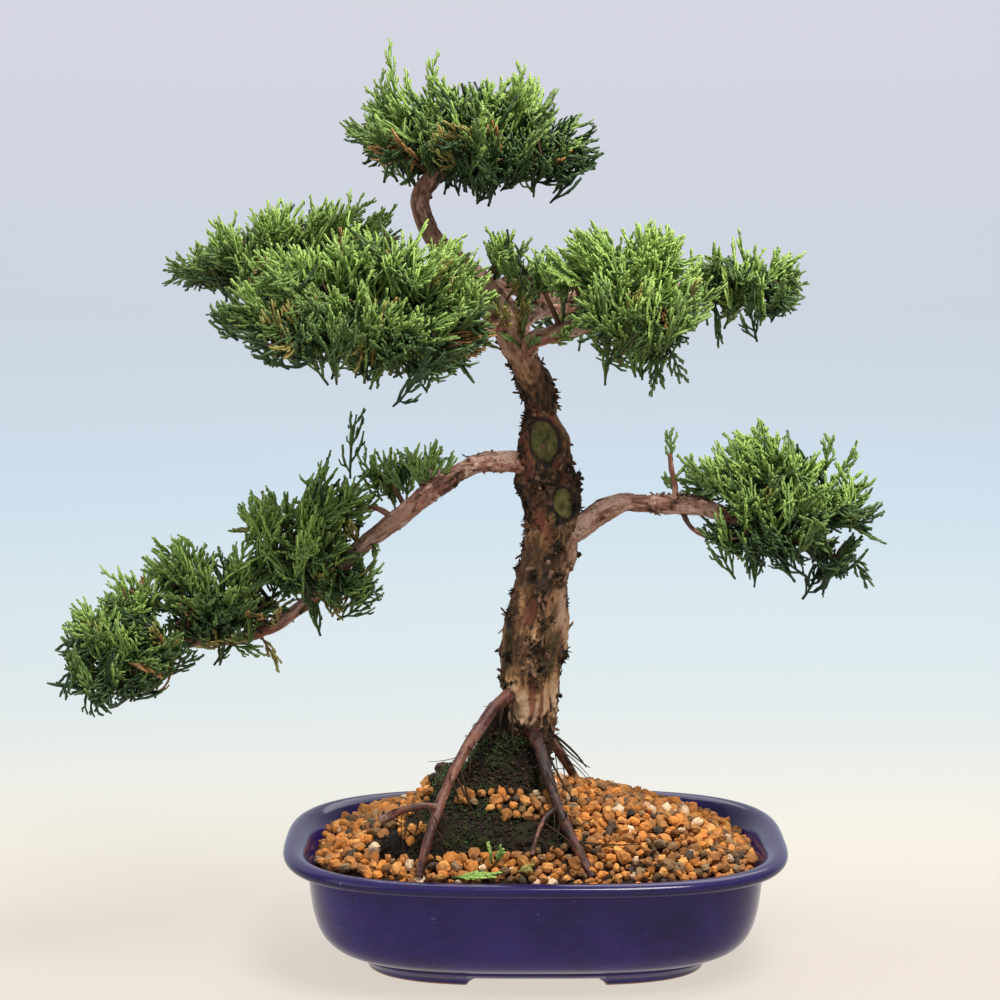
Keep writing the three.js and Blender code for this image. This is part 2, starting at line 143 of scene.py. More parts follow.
def grid_faces(rows, columns):
    """Four-cornered faces of a grid whose last column joins its first, as round a tube.

    With rows going along the tube and columns going round it anticlockwise, they face out.
    """
    row, column = np.meshgrid(np.arange(rows - 1), np.arange(columns), indexing="ij")
    after = (column + 1) % columns
    corners = [
        row * columns + column,
        row * columns + after,
        (row + 1) * columns + after,
        (row + 1) * columns + column,
    ]
    return np.stack(corners, axis=-1).reshape(-1, 4)


def grid_uv(rows, columns):
    """A flat map for grid_faces: how far round goes to u, and how far along goes to v."""
    row, column = np.meshgrid(np.arange(rows - 1), np.arange(columns), indexing="ij")
    u = np.stack([column, column + 1, column + 1, column], axis=-1) / columns
    v = np.stack([row, row, row + 1, row + 1], axis=-1) / (rows - 1)
    return np.stack([u, v], axis=-1).reshape(-1, 2)


def closed_grid(rows, columns):
    """Faces and flat map of a grid closed at both ends by one many-cornered face each."""
    last = (rows - 1) * columns
    around = np.arange(columns)
    ends = np.stack([around[::-1], last + around])
    u = around / columns
    first_uv = np.stack([u[::-1], np.zeros(columns)], axis=-1)
    last_uv = np.stack([u, np.ones(columns)], axis=-1)
    faces = [grid_faces(rows, columns), ends]
    return faces, np.concatenate([grid_uv(rows, columns), first_uv, last_uv])


# %% [markdown]
# ## Randomness that repeats
#
# Bark, soil and gravel need noise. A table of random numbers with a fixed seed is read at the
# corners of a lattice and blended in between, so each run gives the same tree.

# %% Noise
NOISE_ROWS = 8192  # a power of two, so that a mask of its bits picks a row
NOISE_TABLE = np.random.default_rng(7).uniform(-1, 1, (NOISE_ROWS, 4))


def table_row(x, y, z, seed):
    """A row of the random table for each lattice corner, mixed from its whole coordinates."""
    mixed = (x * 73856093) ^ (y * 19349663) ^ (z * 83492791) ^ (seed * 2654435761)
    return NOISE_TABLE[(mixed ^ (mixed >> 13)) & (NOISE_ROWS - 1)]


def noise(points, cell, seed=0, octaves=1):
    """Smooth noise, about -1 to 1. Inside a lattice cube, its eight corners' random numbers are
    blended with the weight 3t^2 - 2t^3 along each axis. Each octave halves cell and strength.
    """
    total = 0.0
    for octave in range(octaves):
        scaled = points / (np.asarray(cell) / 2**octave) + 37.7 * octave
        base = np.floor(scaled).astype(np.int64)
        t = scaled - base
        t = t * t * (3 - 2 * t)
        value = 0.0
        for corner in np.ndindex(2, 2, 2):
            weight = np.prod(np.where(corner, t, 1 - t), axis=-1)
            value = value + weight * table_row(*np.moveaxis(base + corner, -1, 0), seed)[..., 0]
        total = total + value / 2**octave
    return total


def unit(vectors):
    """Vectors of length one in the same directions."""
    return vectors / np.maximum(np.linalg.norm(vectors, axis=-1, keepdims=True), 1e-9)


def smooth_step(t):
    """0 below 0, 1 above 1, and 3t^2 - 2t^3 between."""
    t = np.clip(t, 0, 1)
    return t * t * (3 - 2 * t)


# %% [markdown]
# ## Paths and tubes
#
# A limb is a path with a radius. The path is smooth through a few given points, and the ring round
# it is carried along without twisting, so bark lines up along the grain. Shoots, bark flakes and
# hair roots are short tubes too, thousands at once, so the same sums are done on arrays that hold
# every tube.


# %% Path helpers
def smooth_path(points, count):
    """count evenly spaced points on a curve through the given ones, extra columns included.

    Between two points it is the cubic whose slope at each is half the step between its
    neighbours (Catmull-Rom). Even spacing comes from the summed length of small steps.
    """
    points = np.asarray(points, dtype=float)
    padded = np.vstack([2 * points[0] - points[1], points, 2 * points[-1] - points[-2]])
    place = np.linspace(0, len(points) - 1, count * 8)
    start = np.minimum(place.astype(int), len(points) - 2)
    t = (place - start)[:, None]
    before, here, ahead, beyond = (padded[start + k] for k in range(4))
    curve = here + 0.5 * t * (
        ahead - before
        + t * (2 * before - 5 * here + 4 * ahead - beyond)
        + t * t * (3 * (here - ahead) + beyond - before)
    )
    steps = np.linalg.norm(np.diff(curve[:, :3], axis=0), axis=1)
    length = np.concatenate([[0], np.cumsum(steps)])
    even = np.linspace(0, length[-1], count)
    return np.stack([np.interp(even, length, column) for column in curve.T], axis=1)


def ring_directions(centres, first_side):
    """Three directions at each point of many paths: along the path and two across it.

    centres is (paths, rings, 3). The side direction is carried from ring to ring by taking
    away its part along the path.
    """
    along = unit(np.gradient(centres, axis=1))
    side = np.empty_like(along)
    carried = first_side
    for ring in range(centres.shape[1]):
        direction = along[:, ring]
        carried = carried - direction * np.sum(carried * direction, axis=-1, keepdims=True)
        carried = unit(carried)
        side[:, ring] = carried
    return along, side, np.cross(along, side)


# %% Many short tubes
def tubes(start, direction, length, bend, radius, tone, first_side, shape, sides,
          flatness=1.0, twist=0.0, age=(0.02, 0.98)):
    """Points, faces and map of many tubes: start + direction * length * s + bend * length * s^2.

    s runs from 0 to 1. shape is the radius at each ring as a share of radius, and a flatness
    under 1 makes the section an oval. In the map u runs from one age to the other with s, and
    v is the tone, with a hair's breadth of difference between the sides.
    """
    count, rings = len(start), len(shape)
    s = np.linspace(0, 1, rings)[None, :, None]
    reach = length[:, None, None]
    centres = start[:, None] + direction[:, None] * reach * s + bend[:, None] * reach * s * s
    _, side, across = ring_directions(centres, first_side)
    turn = full_turn(sides)
    angle = (turn[None, :] + twist * np.arange(rings)[:, None])[None, :, :, None]
    around = np.cos(angle) * side[:, :, None] + flatness * np.sin(angle) * across[:, :, None]
    radii = radius[:, None] * np.asarray(shape)[None]
    points = centres[:, :, None] + radii[:, :, None, None] * around
    faces, _ = closed_grid(rings, sides)
    shift = np.arange(count)[:, None, None] * rings * sides
    faces = [(block[None] + shift).reshape(-1, block.shape[1]) for block in faces]
    u = age[0] + (age[1] - age[0]) * s + np.zeros((count, rings, sides))
    v = np.clip(tone, 0.03, 0.97)[:, None, None] + 0.012 * np.sin(turn) + np.zeros_like(u)
    return points.reshape(-1, 3), faces, np.stack([u, v], axis=-1).reshape(-1, 2)


def strewn(growth, shape, sides, rng, age=(0.6, 0.98)):
    """tubes() turned at random about their own length. growth is start, direction, length,
    bend, radius and tone.
    """
    return tubes(*growth, rng.normal(size=growth[0].shape), shape, sides, age=age)


def join(parts):
    """One array of points, one list of faces and one map by face corner from several tubes()."""
    points, faces, uv, shift = [], [], [], 0
    for part_points, part_faces, part_uv in parts:
        points.append(part_points)
        faces += [block + shift for block in part_faces]
        uv.append(part_uv)
        shift += len(part_points)
    corners = np.concatenate([block.ravel() for block in faces])
    return np.concatenate(points), faces, np.concatenate(uv)[corners]


# %% [markdown]
# ## Writing materials
#
# Every material is a small graph of shader nodes. Two helpers keep each graph readable: one
# adds a node and fills its sockets, the other mixes two colours. Patterns read Object
# coordinates, which are metres in the frame, or the piece's own map and attributes.


# %% Node helpers
def start_material(name, roughness, specular=0.5):
    """A new material with its node tree and its Principled shader."""
    material = bpy.data.materials.new(name)
    material.use_nodes = True
    shader = material.node_tree.nodes["Principled BSDF"]
    shader.inputs["Roughness"].default_value = roughness
    shader.inputs["Specular IOR Level"].default_value = specular
    return material, material.node_tree, shader


def put(tree, kind, inputs=None, **settings):
    """Adds a shader node. An input is a plain value or another node's output socket."""
    node = tree.nodes.new("ShaderNode" + kind)
    for key, value in settings.items():
        setattr(node, key, value)
    for key, value in (inputs or {}).items():
        if isinstance(value, bpy.types.NodeSocket):
            tree.links.new(value, node.inputs[key])
        else:
            node.inputs[key].default_value = value
    return node


def mix(tree, factor, first, second, blend="MIX"):
    """The colour first with the colour second laid over it by factor."""
    node = put(tree, "Mix", data_type="RGBA", blend_type=blend)
    for place, value in ((0, factor), (6, first), (7, second)):
        if isinstance(value, bpy.types.NodeSocket):
            tree.links.new(value, node.inputs[place])
        elif place:
            node.inputs[place].default_value = (*value, 1)
        else:
            node.inputs[place].default_value = value
    return node.outputs[2]


def ramp(tree, factor, stops, interpolation="LINEAR"):
    """A colour for each value of factor. stops is a list of (position, colour)."""
    node = put(tree, "ValToRGB", {"Fac": factor})
    node.color_ramp.interpolation = interpolation
    elements = node.color_ramp.elements
    while len(elements) < len(stops):
        elements.new(0.5)
    for element, (position, colour) in zip(elements, stops):
        element.position = position
        element.color = (*colour, 1)
    return node.outputs["Color"]


def grey(level):
    """The grey of that level, as a colour."""
    return (level, level, level)


def object_noise(tree, size_mm, detail=4.0, stretch=1.0, roughness=0.55):
    """Noise with features of size_mm on Object coordinates, stretched along Z."""
    place = put(tree, "TexCoord").outputs["Object"]
    if stretch != 1.0:
        place = put(tree, "Mapping", {"Vector": place, "Scale": (1, 1, 1 / stretch)}).outputs[0]
    values = {"Vector": place, "Scale": 1000 / size_mm, "Detail": detail, "Roughness": roughness}
    return put(tree, "TexNoise", values).outputs["Fac"]


def mark(tree, name):
    """The value of one of the piece's own attributes."""
    return put(tree, "Attribute", attribute_name=name).outputs["Fac"]


def map_values(tree):
    """The two numbers of the piece's own map, u and v."""
    flat = put(tree, "UVMap", uv_map="OFBake").outputs["UV"]
    parts = put(tree, "SeparateXYZ", {"Vector": flat})
    return parts.outputs["X"], parts.outputs["Y"]


def bump(tree, shader, height, strength, distance_mm):
    """Small relief: the height shades the surface as if it rose by distance_mm."""
    values = {"Height": height, "Strength": strength, "Distance": distance_mm * MM}
    node = put(tree, "Bump", values)
    tree.links.new(node.outputs[0], shader.inputs["Normal"])


def finish_node(node_name, material):
    """Gives a CAD node that stays in view its material."""
    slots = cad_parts[node_name].data.materials
    slots.clear()
    slots.append(material)


# %% [markdown]
# ## The pot's shape
#
# The real pot is slip cast: its plan is a rounded rectangle with bowed sides, and its profile is
# a rolled rim, a full belly and a foot cut open in the middle of each side. A superellipse gives
# the plan, and one profile carried round it gives the whole pot, inside and out, so there is no
# seam. The foot's openings are made by lifting the bottom points of the profile.

# %% Pot outline and profile
PLAN_POWER = 3.1  # squareness of the plan: 2 is an ellipse, more is squarer
FOOT_GAP_HEIGHT = 4.0
FOOT_GAP_HALF = (27, 20)  # half widths of the openings in the long and the short sides
FOOT_GAP_EDGE = 2.5  # how far an opening's edge takes to rise

# Each point is how far in from the rim's edge, and how high above the table.
OUTSIDE = [
    (45, 5.5), (43.4, 5.3), (43, 4.6), (43, 0.5), (42.6, 0), (38.5, 0), (34.6, 0),
    (34, 0.6), (32.6, 3), (30, 5), (28.6, 5.8), (28.4, 6.5), (28.8, 7.1), (28.2, 7.6),
    (26, 7.7), (22.5, 9.2), (18.3, 12), (14.6, 17), (12.3, 24), (11, 32),
    (10.3, 39), (10.1, 42.6), (9.9, 43.6),
]
RIM = [
    (8.6, 44.3), (5, 44.8), (2.2, 45.5), (0.6, 46.8), (0, 48.3), (0.5, 49.7), (1.8, 50.6),
    (3.6, 51), (5.4, 50.8), (7, 50.1), (8.6, 49),
]
INSIDE = [
    (10.6, 46.6), (12.6, 43), (14.6, 38), (15.8, 32), (16.6, 25), (19, 16), (25, 11.6), (31, 11),
]


def plan(angle, inset):
    """A point of the pot's plan: half size times the 2/power root of cosine and sine."""
    bend_x = np.sign(np.cos(angle)) * np.abs(np.cos(angle)) ** (2 / PLAN_POWER)
    bend_y = np.sign(np.sin(angle)) * np.abs(np.sin(angle)) ** (2 / PLAN_POWER)
    return (POT_SIZE[0] / 2 - inset) * bend_x, (POT_SIZE[1] / 2 - inset) * bend_y


def foot_lift(x, y, height):
    """How far a foot point rises in an opening: full inside its half width, falling off over
    a few millimetres, and fading to nothing above the foot.
    """
    along_x = (FOOT_GAP_HALF[0] - np.abs(x)) / FOOT_GAP_EDGE + 0.5
    along_y = (FOOT_GAP_HALF[1] - np.abs(y)) / FOOT_GAP_EDGE + 0.5
    opening = smooth_step(np.maximum(along_x, along_y))
    return np.maximum(opening * FOOT_GAP_HEIGHT - height, 0)


# %% Pot surface
POT_ROWS = 150
POT_COLUMNS = 200
profile = smooth_path([(i, h, 0) for i, h in OUTSIDE + RIM + INSIDE], POT_ROWS)
# Even spacing in angle crowds the points at the corners of a superellipse, which is where the
# outline bends, so the angle is used as it is.
pot_angle = full_turn(POT_COLUMNS)
inset, around = np.meshgrid(profile[:, 0], pot_angle, indexing="ij")
pot_x, pot_y = plan(around, inset)
pot_height = np.repeat(profile[:, 1:2], POT_COLUMNS, axis=1)
pot_height = pot_height + foot_lift(pot_x, pot_y, pot_height)
pot_points = np.stack([pot_x, pot_y, pot_height + TABLE], axis=-1)
wobble = noise(pot_points, 60, seed=3) * 0.35  # a cast pot is never quite true
pot_points[..., :2] *= 1 + (wobble[..., None] / 100) * np.clip(pot_height / 20, 0, 1)[..., None]
print("profile points", POT_ROWS, "highest", profile[:, 1].max().round(2))

# %% [markdown]
# ## The blue glaze
#
# A cobalt glaze is a coloured glass over clay. It lies thick and dark on the rolled rim, thins on
# edges so that they look paler, and carries pinholes and a few specks. Under the foot the clay is
# bare, because a glazed foot would stick to the kiln shelf. Noise on Object coordinates mottles
# the colour, and marks worked out from the profile say where the rim, an edge or bare clay is.


# %% Glaze material
GLAZE_ROUGHNESS, CLAY_ROUGHNESS = 0.13, 0.85


def glaze_material():
    """Violet-blue glaze mottled by noise. The marks lip, thin and bare say where it is darker,
    where it is paler and where the clay shows.
    """
    material, tree, shader = start_material("blue glaze", GLAZE_ROUGHNESS, 0.28)
    cloud = object_noise(tree, 26, detail=3)
    colour = ramp(tree, cloud, [(0.3, (0.015, 0.007, 0.068)), (0.7, (0.031, 0.016, 0.15))])
    streak = object_noise(tree, 5, detail=5, stretch=0.4)
    streak_mask = ramp(tree, streak, [(0.45, grey(0)), (0.72, grey(0.5))])
    colour = mix(tree, streak_mask, colour, (0.034, 0.021, 0.16))
    colour = mix(tree, mark(tree, "lip"), colour, (0.011, 0.006, 0.042))
    colour = mix(tree, mark(tree, "thin"), colour, (0.038, 0.032, 0.105))
    specks = object_noise(tree, 1.3, detail=0)
    pale = ramp(tree, specks, [(0.86, grey(0)), (0.9, grey(0.6))])
    colour = mix(tree, pale, colour, (0.25, 0.26, 0.42))
    pits = object_noise(tree, 1.9, detail=0)
    dark = ramp(tree, pits, [(0.11, grey(0.8)), (0.15, grey(0))])
    colour = mix(tree, dark, colour, (0.004, 0.003, 0.012))
    bare = ramp(tree, mark(tree, "bare"), [(0.4, grey(0)), (0.6, grey(1))])
    clay_grain = object_noise(tree, 1.2, detail=6)
    clay = ramp(tree, clay_grain, [(0.3, (0.23, 0.12, 0.06)), (0.7, (0.42, 0.26, 0.15))])
    colour = mix(tree, bare, colour, clay)
    tree.links.new(colour, shader.inputs["Base Color"])
    rough = mix(tree, bare, grey(GLAZE_ROUGHNESS), grey(CLAY_ROUGHNESS))
    tree.links.new(rough, shader.inputs["Roughness"])
    ripple = object_noise(tree, 9, detail=4)
    bump(tree, shader, ripple, 0.12, 0.5)
    return material


# %% Make the pot
GLAZE_LINE = 0.9  # the clay is bare below this height
BARE_INSET = 42  # and under the pot, further in than this
CREST_INSET = 1.2  # where the rim turns over, and the glaze is thin
FOOT_EDGE_HEIGHT = 6.4  # the other thin edge, where the foot meets the belly
LIP_LOW = 44  # height of the rolled rim's underside
rim_crest = np.exp(-((inset - CREST_INSET) ** 2)) * (pot_height > 48)
foot_edge = np.exp(-(((pot_height - FOOT_EDGE_HEIGHT) / 0.5) ** 2)) * (inset > 26)
thin = np.clip(rim_crest * 0.5 + foot_edge * 0.35, 0, 1)
lip = 0.7 * smooth_step((pot_height - LIP_LOW) / 4)
bare = np.clip((GLAZE_LINE - pot_height) / 0.6 + 0.5, 0, 1)
bare = np.maximum(bare, (inset > BARE_INSET).astype(float))
pot_faces, pot_uv = closed_grid(POT_ROWS, POT_COLUMNS)
GLAZE = glaze_material()
pot = make_piece(
    "pot_glazed", pot_points.reshape(-1, 3), pot_faces, GLAZE,
    replaces=["pot"], uv=pot_uv, marks={"thin": thin, "bare": bare, "lip": lip},
)


# %% [markdown]
# ## Drain holes
#
# Water leaves a bonsai pot through two holes in the floor, covered inside by plastic screens so
# that the soil stays in. A Boolean modifier with two cylinders cuts the holes after the profile
# has made the floor, and the CAD's screens stay and only get a moulded plastic finish.

# %% Cut the drain holes
DRAIN_RADIUS = 7
DRAIN_HALF_SPACING = 37
DRAIN_CORNERS = 40
DRAIN_CUT = (2, 16)  # the rod's ends, above the table


def drain_cutter(side):
    """A round rod that stands through the floor."""
    turn = full_turn(DRAIN_CORNERS)
    ring = np.stack([np.cos(turn), np.sin(turn), 0 * turn], axis=-1) * DRAIN_RADIUS
    middle = np.array([side * DRAIN_HALF_SPACING, 0, TABLE])
    points = np.concatenate([ring + middle + (0, 0, level) for level in DRAIN_CUT])
    faces, _ = closed_grid(2, DRAIN_CORNERS)
    mesh = bpy.data.meshes.new("drain cutter")
    rows = [row for block in faces for row in block.tolist()]
    mesh.from_pydata(((points + RIM_ORIGIN) * MM).tolist(), [], rows)
    cutter = bpy.data.objects.new("drain cutter", mesh)
    bpy.context.collection.objects.link(cutter)
    return cutter


for cut_side in (-1, 1):
    rod = drain_cutter(cut_side)
    cut = pot.modifiers.new("drain", "BOOLEAN")
    cut.operation = "DIFFERENCE"
    cut.object = rod
    seen = pot.evaluated_get(bpy.context.evaluated_depsgraph_get())
    drained = bpy.data.meshes.new_from_object(seen)
    pot.modifiers.clear()
    pot.data = drained
    bpy.data.objects.remove(rod)
print("pot with drain holes has", len(pot.data.polygons), "faces")


# %% Screen material
def screen_material():
    """Black plastic with a fine grain."""
    material, tree, shader = start_material("black plastic", 0.55)
    grain = object_noise(tree, 0.8, detail=2)
    colour = ramp(tree, grain, [(0.3, grey(0.012)), (0.7, grey(0.028))])
    tree.links.new(colour, shader.inputs["Base Color"])
    bump(tree, shader, grain, 0.3, 0.1)
    return material


SCREEN = screen_material()
for screen_name in ("drain_screen_left", "drain_screen_right"):
    finish_node(screen_name, SCREEN)

# %% [markdown]
# ## The soil
#
# The pot is filled with a dark, crumbly mix. It shows between the gravel grains and through the
# drain holes, so the CAD's closed soil stays, with a granular finish.


# %% Soil material
def soil_material():
    """Dark crumbs: one noise sets both their colour and their relief."""
    material, tree, shader = start_material("damp soil", 0.95, 0.2)
    crumbs = object_noise(tree, 2.2, detail=8, roughness=0.7)
    colour = ramp(tree, crumbs, [
        (0.3, (0.008, 0.005, 0.003)), (0.52, (0.03, 0.018, 0.01)), (0.75, (0.09, 0.05, 0.025)),
    ])
    tree.links.new(colour, shader.inputs["Base Color"])
    bump(tree, shader, crumbs, 0.9, 1.2)
    return material


SOIL = soil_material()
finish_node("soil", SOIL)

# %% [markdown]
# ## The lie of the land
#
# The topping is heaped towards the trunk, stands almost level with the rim at the front and
# lies lower at the back. Its height is a function of x and y, used both for the bed below the
# grains and for placing each grain.

# %% Height of the topping and the mound
HEAP_RISE = 27.0
HEAP_EDGE = -5.8  # height at the wall, halfway between the front and the back
HEAP_TILT = 3.4  # higher at the front, lower at the back
WALL_INSET = 12.5
# A lump of old soil left of the trunk lifts the heap.
LUMP_X, LUMP_Y, LUMP_SIZE, LUMP_RISE = -34.0, -2.0, 10.0, 13.0


def plan_share(x, y, inset):
    """0 at the middle and 1 on the outline drawn in by inset: the superellipse's own norm."""
    share_x = np.abs(x) / (POT_SIZE[0] / 2 - inset)
    share_y = np.abs(y) / (POT_SIZE[1] / 2 - inset)
    return (share_x**PLAN_POWER + share_y**PLAN_POWER) ** (1 / PLAN_POWER)


def heap_height(x, y):
    """Edge height, plus a dome that falls as the square of the share, plus a round bump for the
    lump and small unevenness.
    """
    share = np.minimum(plan_share(x, y, WALL_INSET), 1.0)
    tilt = -HEAP_TILT * y / (POT_SIZE[1] / 2 - WALL_INSET)
    flat = np.stack([x, y, 0 * x], axis=-1)
    lump = LUMP_RISE * np.exp(-((x - LUMP_X) ** 2 + (y - LUMP_Y) ** 2) / (2 * LUMP_SIZE**2))
    dome = HEAP_RISE * (1 - share**2)
    return HEAP_EDGE + tilt + dome + lump + noise(flat, 24, seed=5) * 1.3


# Levels of the clod: height above the rim, half width, half depth, and its middle.
MOUND_LEVELS = np.array([
    (-7, 58, 44, -17, -13), (4, 55, 42, -18, -14), (10, 46, 37, -19, -16),
    (15, 33, 30, -19, -17), (20, 23, 23, -16, -15), (27, 15.5, 16, -13, -9),
    (38, 14.5, 11, -10.5, -2), (48, 11.5, 8, -9, 1), (56, 7, 6, -8.5, 1),
])
MOUND_POWER = 2.8  # of the levels' outline: 2 is an oval, and more is squarer
FAR_BELOW = -99.0


def mound_level(height):
    """Half width, half depth and middle of the clod at a height, between the given levels."""
    return [np.interp(height, MOUND_LEVELS[:, 0], column) for column in MOUND_LEVELS[:, 1:].T]


def mound_top(x, y):
    """Height of the clod's surface over each point: the highest of many levels whose oval
    holds the point, or far below where none does.
    """
    levels = np.linspace(MOUND_LEVELS[0, 0], MOUND_LEVELS[-1, 0], 127)[:, None]
    width, depth, middle_x, middle_y = mound_level(levels)
    share_x, share_y = np.abs(x - middle_x) / width, np.abs(y - middle_y) / depth
    inside = share_x**MOUND_POWER + share_y**MOUND_POWER < 1
    return np.where(inside, levels, FAR_BELOW).max(axis=0)


print("heap at the middle", heap_height(np.zeros(1), np.zeros(1)).round(1))

# %% [markdown]
# ## The bed under the gravel
#
# Between the grains the eye should meet shadow and crumbs, not a gap. A closed layer fills the
# space between the soil and the grains: its top is the heap's height less one grain, and its
# underside follows the top a few millimetres lower.

# %% Gravel bed
BED_ROWS = 40
BED_COLUMNS = 120
BED_DROP = 3.4  # how far the bed lies below the topping's surface
BED_THICKNESS = 2.2
BED_INSET = 13.6
bed_share = np.linspace(1, 0.02, BED_ROWS)
share_grid, bed_angle = np.meshgrid(bed_share, full_turn(BED_COLUMNS), indexing="ij")
edge_x, edge_y = plan(bed_angle, BED_INSET)
bed_x = edge_x * share_grid
bed_y = edge_y * share_grid
bed_top = heap_height(bed_x, bed_y) - BED_DROP
top_points = np.stack([bed_x, bed_y, bed_top], axis=-1)
top_points[..., 2] += noise(top_points, 3.0, seed=11, octaves=2) * 0.7
under_points = np.stack([bed_x, bed_y, bed_top - BED_THICKNESS], axis=-1)[::-1]
bed_points = np.concatenate([under_points, top_points]).reshape(-1, 3)
bed_faces, bed_uv = closed_grid(2 * BED_ROWS, BED_COLUMNS)
make_piece("gravel_bed", bed_points, bed_faces, SOIL, uv=bed_uv)

# %% [markdown]
# ## Gravel
#
# The topping is small rounded gravel, three to seven millimetres, ochre and brown with a few
# grey, black and cream grains. Each grain is a cube whose faces are split in four and pushed out
# to a ball, then squashed and dented: 24 faces are enough at this size. Grains are spread on a
# staggered grid and pushed apart where they crowd, which is how poured gravel settles.


# %% Grain shape
def cube_ball():
    """26 points and 24 faces of a ball: the surface points of a 3 x 3 x 3 grid, pushed out."""
    corners = np.array([c for c in np.ndindex(3, 3, 3) if c != (1, 1, 1)])
    place = {tuple(c): i for i, c in enumerate(corners)}
    faces = []
    for axis in range(3):
        first, second = [a for a in range(3) if a != axis]
        for side in (0, 2):
            for i, j in np.ndindex(2, 2):
                quad = []
                for di, dj in ((0, 0), (1, 0), (1, 1), (0, 1)):
                    corner = [0, 0, 0]
                    corner[axis] = side
                    corner[first] = i + di
                    corner[second] = j + dj
                    quad.append(place[tuple(corner)])
                outward = (side == 2) == (axis != 1)
                faces.append(quad if outward else quad[::-1])
    return unit(corners - 1.0), np.array(faces)


BALL_POINTS, BALL_FACES = cube_ball()
print("one grain has", len(BALL_POINTS), "points and", len(BALL_FACES), "faces")


# %% Where the grains lie
GRAIN_INSET = 14.5  # the grains' middles stay this far in from the rim's edge
ROW_SHARE = 0.866  # rows of a staggered grid are this share of the pitch apart


def settle(x, y, radius, rounds):
    """Pushes grains apart: each pair closer than the sum of its radii moves part of the overlap."""
    for _ in range(rounds):
        apart_x = x[:, None] - x[None, :]
        apart_y = y[:, None] - y[None, :]
        distance = np.hypot(apart_x, apart_y) + np.eye(len(x)) * 1e3
        overlap = np.clip(radius[:, None] + radius[None, :] - distance, 0, None) * 0.35
        x = x + np.sum(apart_x / distance * overlap, axis=1)
        y = y + np.sum(apart_y / distance * overlap, axis=1)
        share = plan_share(x, y, GRAIN_INSET)
        x = np.where(share > 1, x / share, x)
        y = np.where(share > 1, y / share, y)
    return x, y


def scatter(pitch, seed, rounds):
    """Grains on a staggered grid with the given pitch, jittered and settled inside the wall."""
    rng = np.random.default_rng(seed)
    across = np.arange(-POT_SIZE[0] / 2, POT_SIZE[0] / 2, pitch)
    deep = np.arange(-POT_SIZE[1] / 2, POT_SIZE[1] / 2, pitch * ROW_SHARE)
    x, y = np.meshgrid(across, deep)
    x = x + (np.arange(len(deep)) % 2 * pitch / 2)[:, None]
    x = (x + rng.uniform(-1.6, 1.6, x.shape)).ravel()
    y = (y + rng.uniform(-1.6, 1.6, y.shape)).ravel()
    inside = plan_share(x, y, GRAIN_INSET) < 1
    x, y = x[inside], y[inside]
    radius = 1.35 + 2.3 * rng.beta(1.5, 3.0, len(x))
    x, y = settle(x, y, radius * 0.9, rounds)
    return x, y, radius


upper_x, upper_y, upper_radius = scatter(pitch=4.3, seed=21, rounds=20)
lower_x, lower_y, lower_radius = scatter(pitch=4.0, seed=22, rounds=6)
grain_x = np.concatenate([upper_x, lower_x])
grain_y = np.concatenate([upper_y, lower_y])
grain_radius = np.concatenate([upper_radius, lower_radius * 0.85])
UPPER_DROP, LOWER_DROP = 0.6, 3.0  # how far each layer's middles lie below the surface
grain_drop = np.repeat([UPPER_DROP, LOWER_DROP], [len(upper_x), len(lower_x)])
ground = heap_height(grain_x, grain_y)
grain_z = ground - grain_drop + np.random.default_rng(24).normal(0, 0.55, len(ground))
# On the clod the topping is a sprinkling where a slow noise is high, one drift in front, and
# the two ends at the left and the right. None lies high on the clod or on the bare lump.
CLOD_BARE_ABOVE = 25
LUMP_BARE_RADIUS = 8.5
clod = mound_top(grain_x, grain_y)
buried = clod > grain_z
sprinkled = noise(np.stack([grain_x, grain_y, 0 * grain_x], axis=-1), 15, 25, 2) > 0.5
in_drift = np.hypot((grain_x + 7) / 13, (grain_y + 33) / 11) < 1
at_side = (grain_x > 14) | (np.hypot((grain_x + 60) / 14, (grain_y + 12) / 26) < 1)
drift = sprinkled | in_drift | at_side
kept = ~buried | (drift & (clod < CLOD_BARE_ABOVE) & (grain_drop < 1))
kept = kept & (np.hypot(grain_x - LUMP_X, grain_y - LUMP_Y + 7) > LUMP_BARE_RADIUS)
grain_z = np.where(buried, clod + 0.8, grain_z)
grain_x, grain_y, grain_z, grain_radius = (
    values[kept] for values in (grain_x, grain_y, grain_z, grain_radius)
)
print("grains", len(grain_x))


# %% Gravel material
def gravel_material():
    """Colour from the map alone: u picks the kind of stone and v its lightness."""
    material, tree, shader = start_material("small gravel", 0.85, 0.25)
    kind_value, light_value = map_values(tree)
    stones = [
        (0.0, (0.56, 0.21, 0.046)), (0.2, (0.44, 0.18, 0.05)), (0.4, (0.31, 0.135, 0.044)),
        (0.58, (0.63, 0.29, 0.08)), (0.7, (0.19, 0.105, 0.045)), (0.82, (0.26, 0.165, 0.085)),
        (0.9, (0.075, 0.052, 0.035)), (0.96, (0.74, 0.52, 0.33)),
    ]
    kind = ramp(tree, kind_value, stones, "CONSTANT")
    lightness = ramp(tree, light_value, [
        (0.0, grey(0.3)), (0.5, grey(0.95)), (1.0, grey(1.6)),
    ])
    tree.links.new(mix(tree, 1.0, kind, lightness, "MULTIPLY"), shader.inputs["Base Color"])
    return material


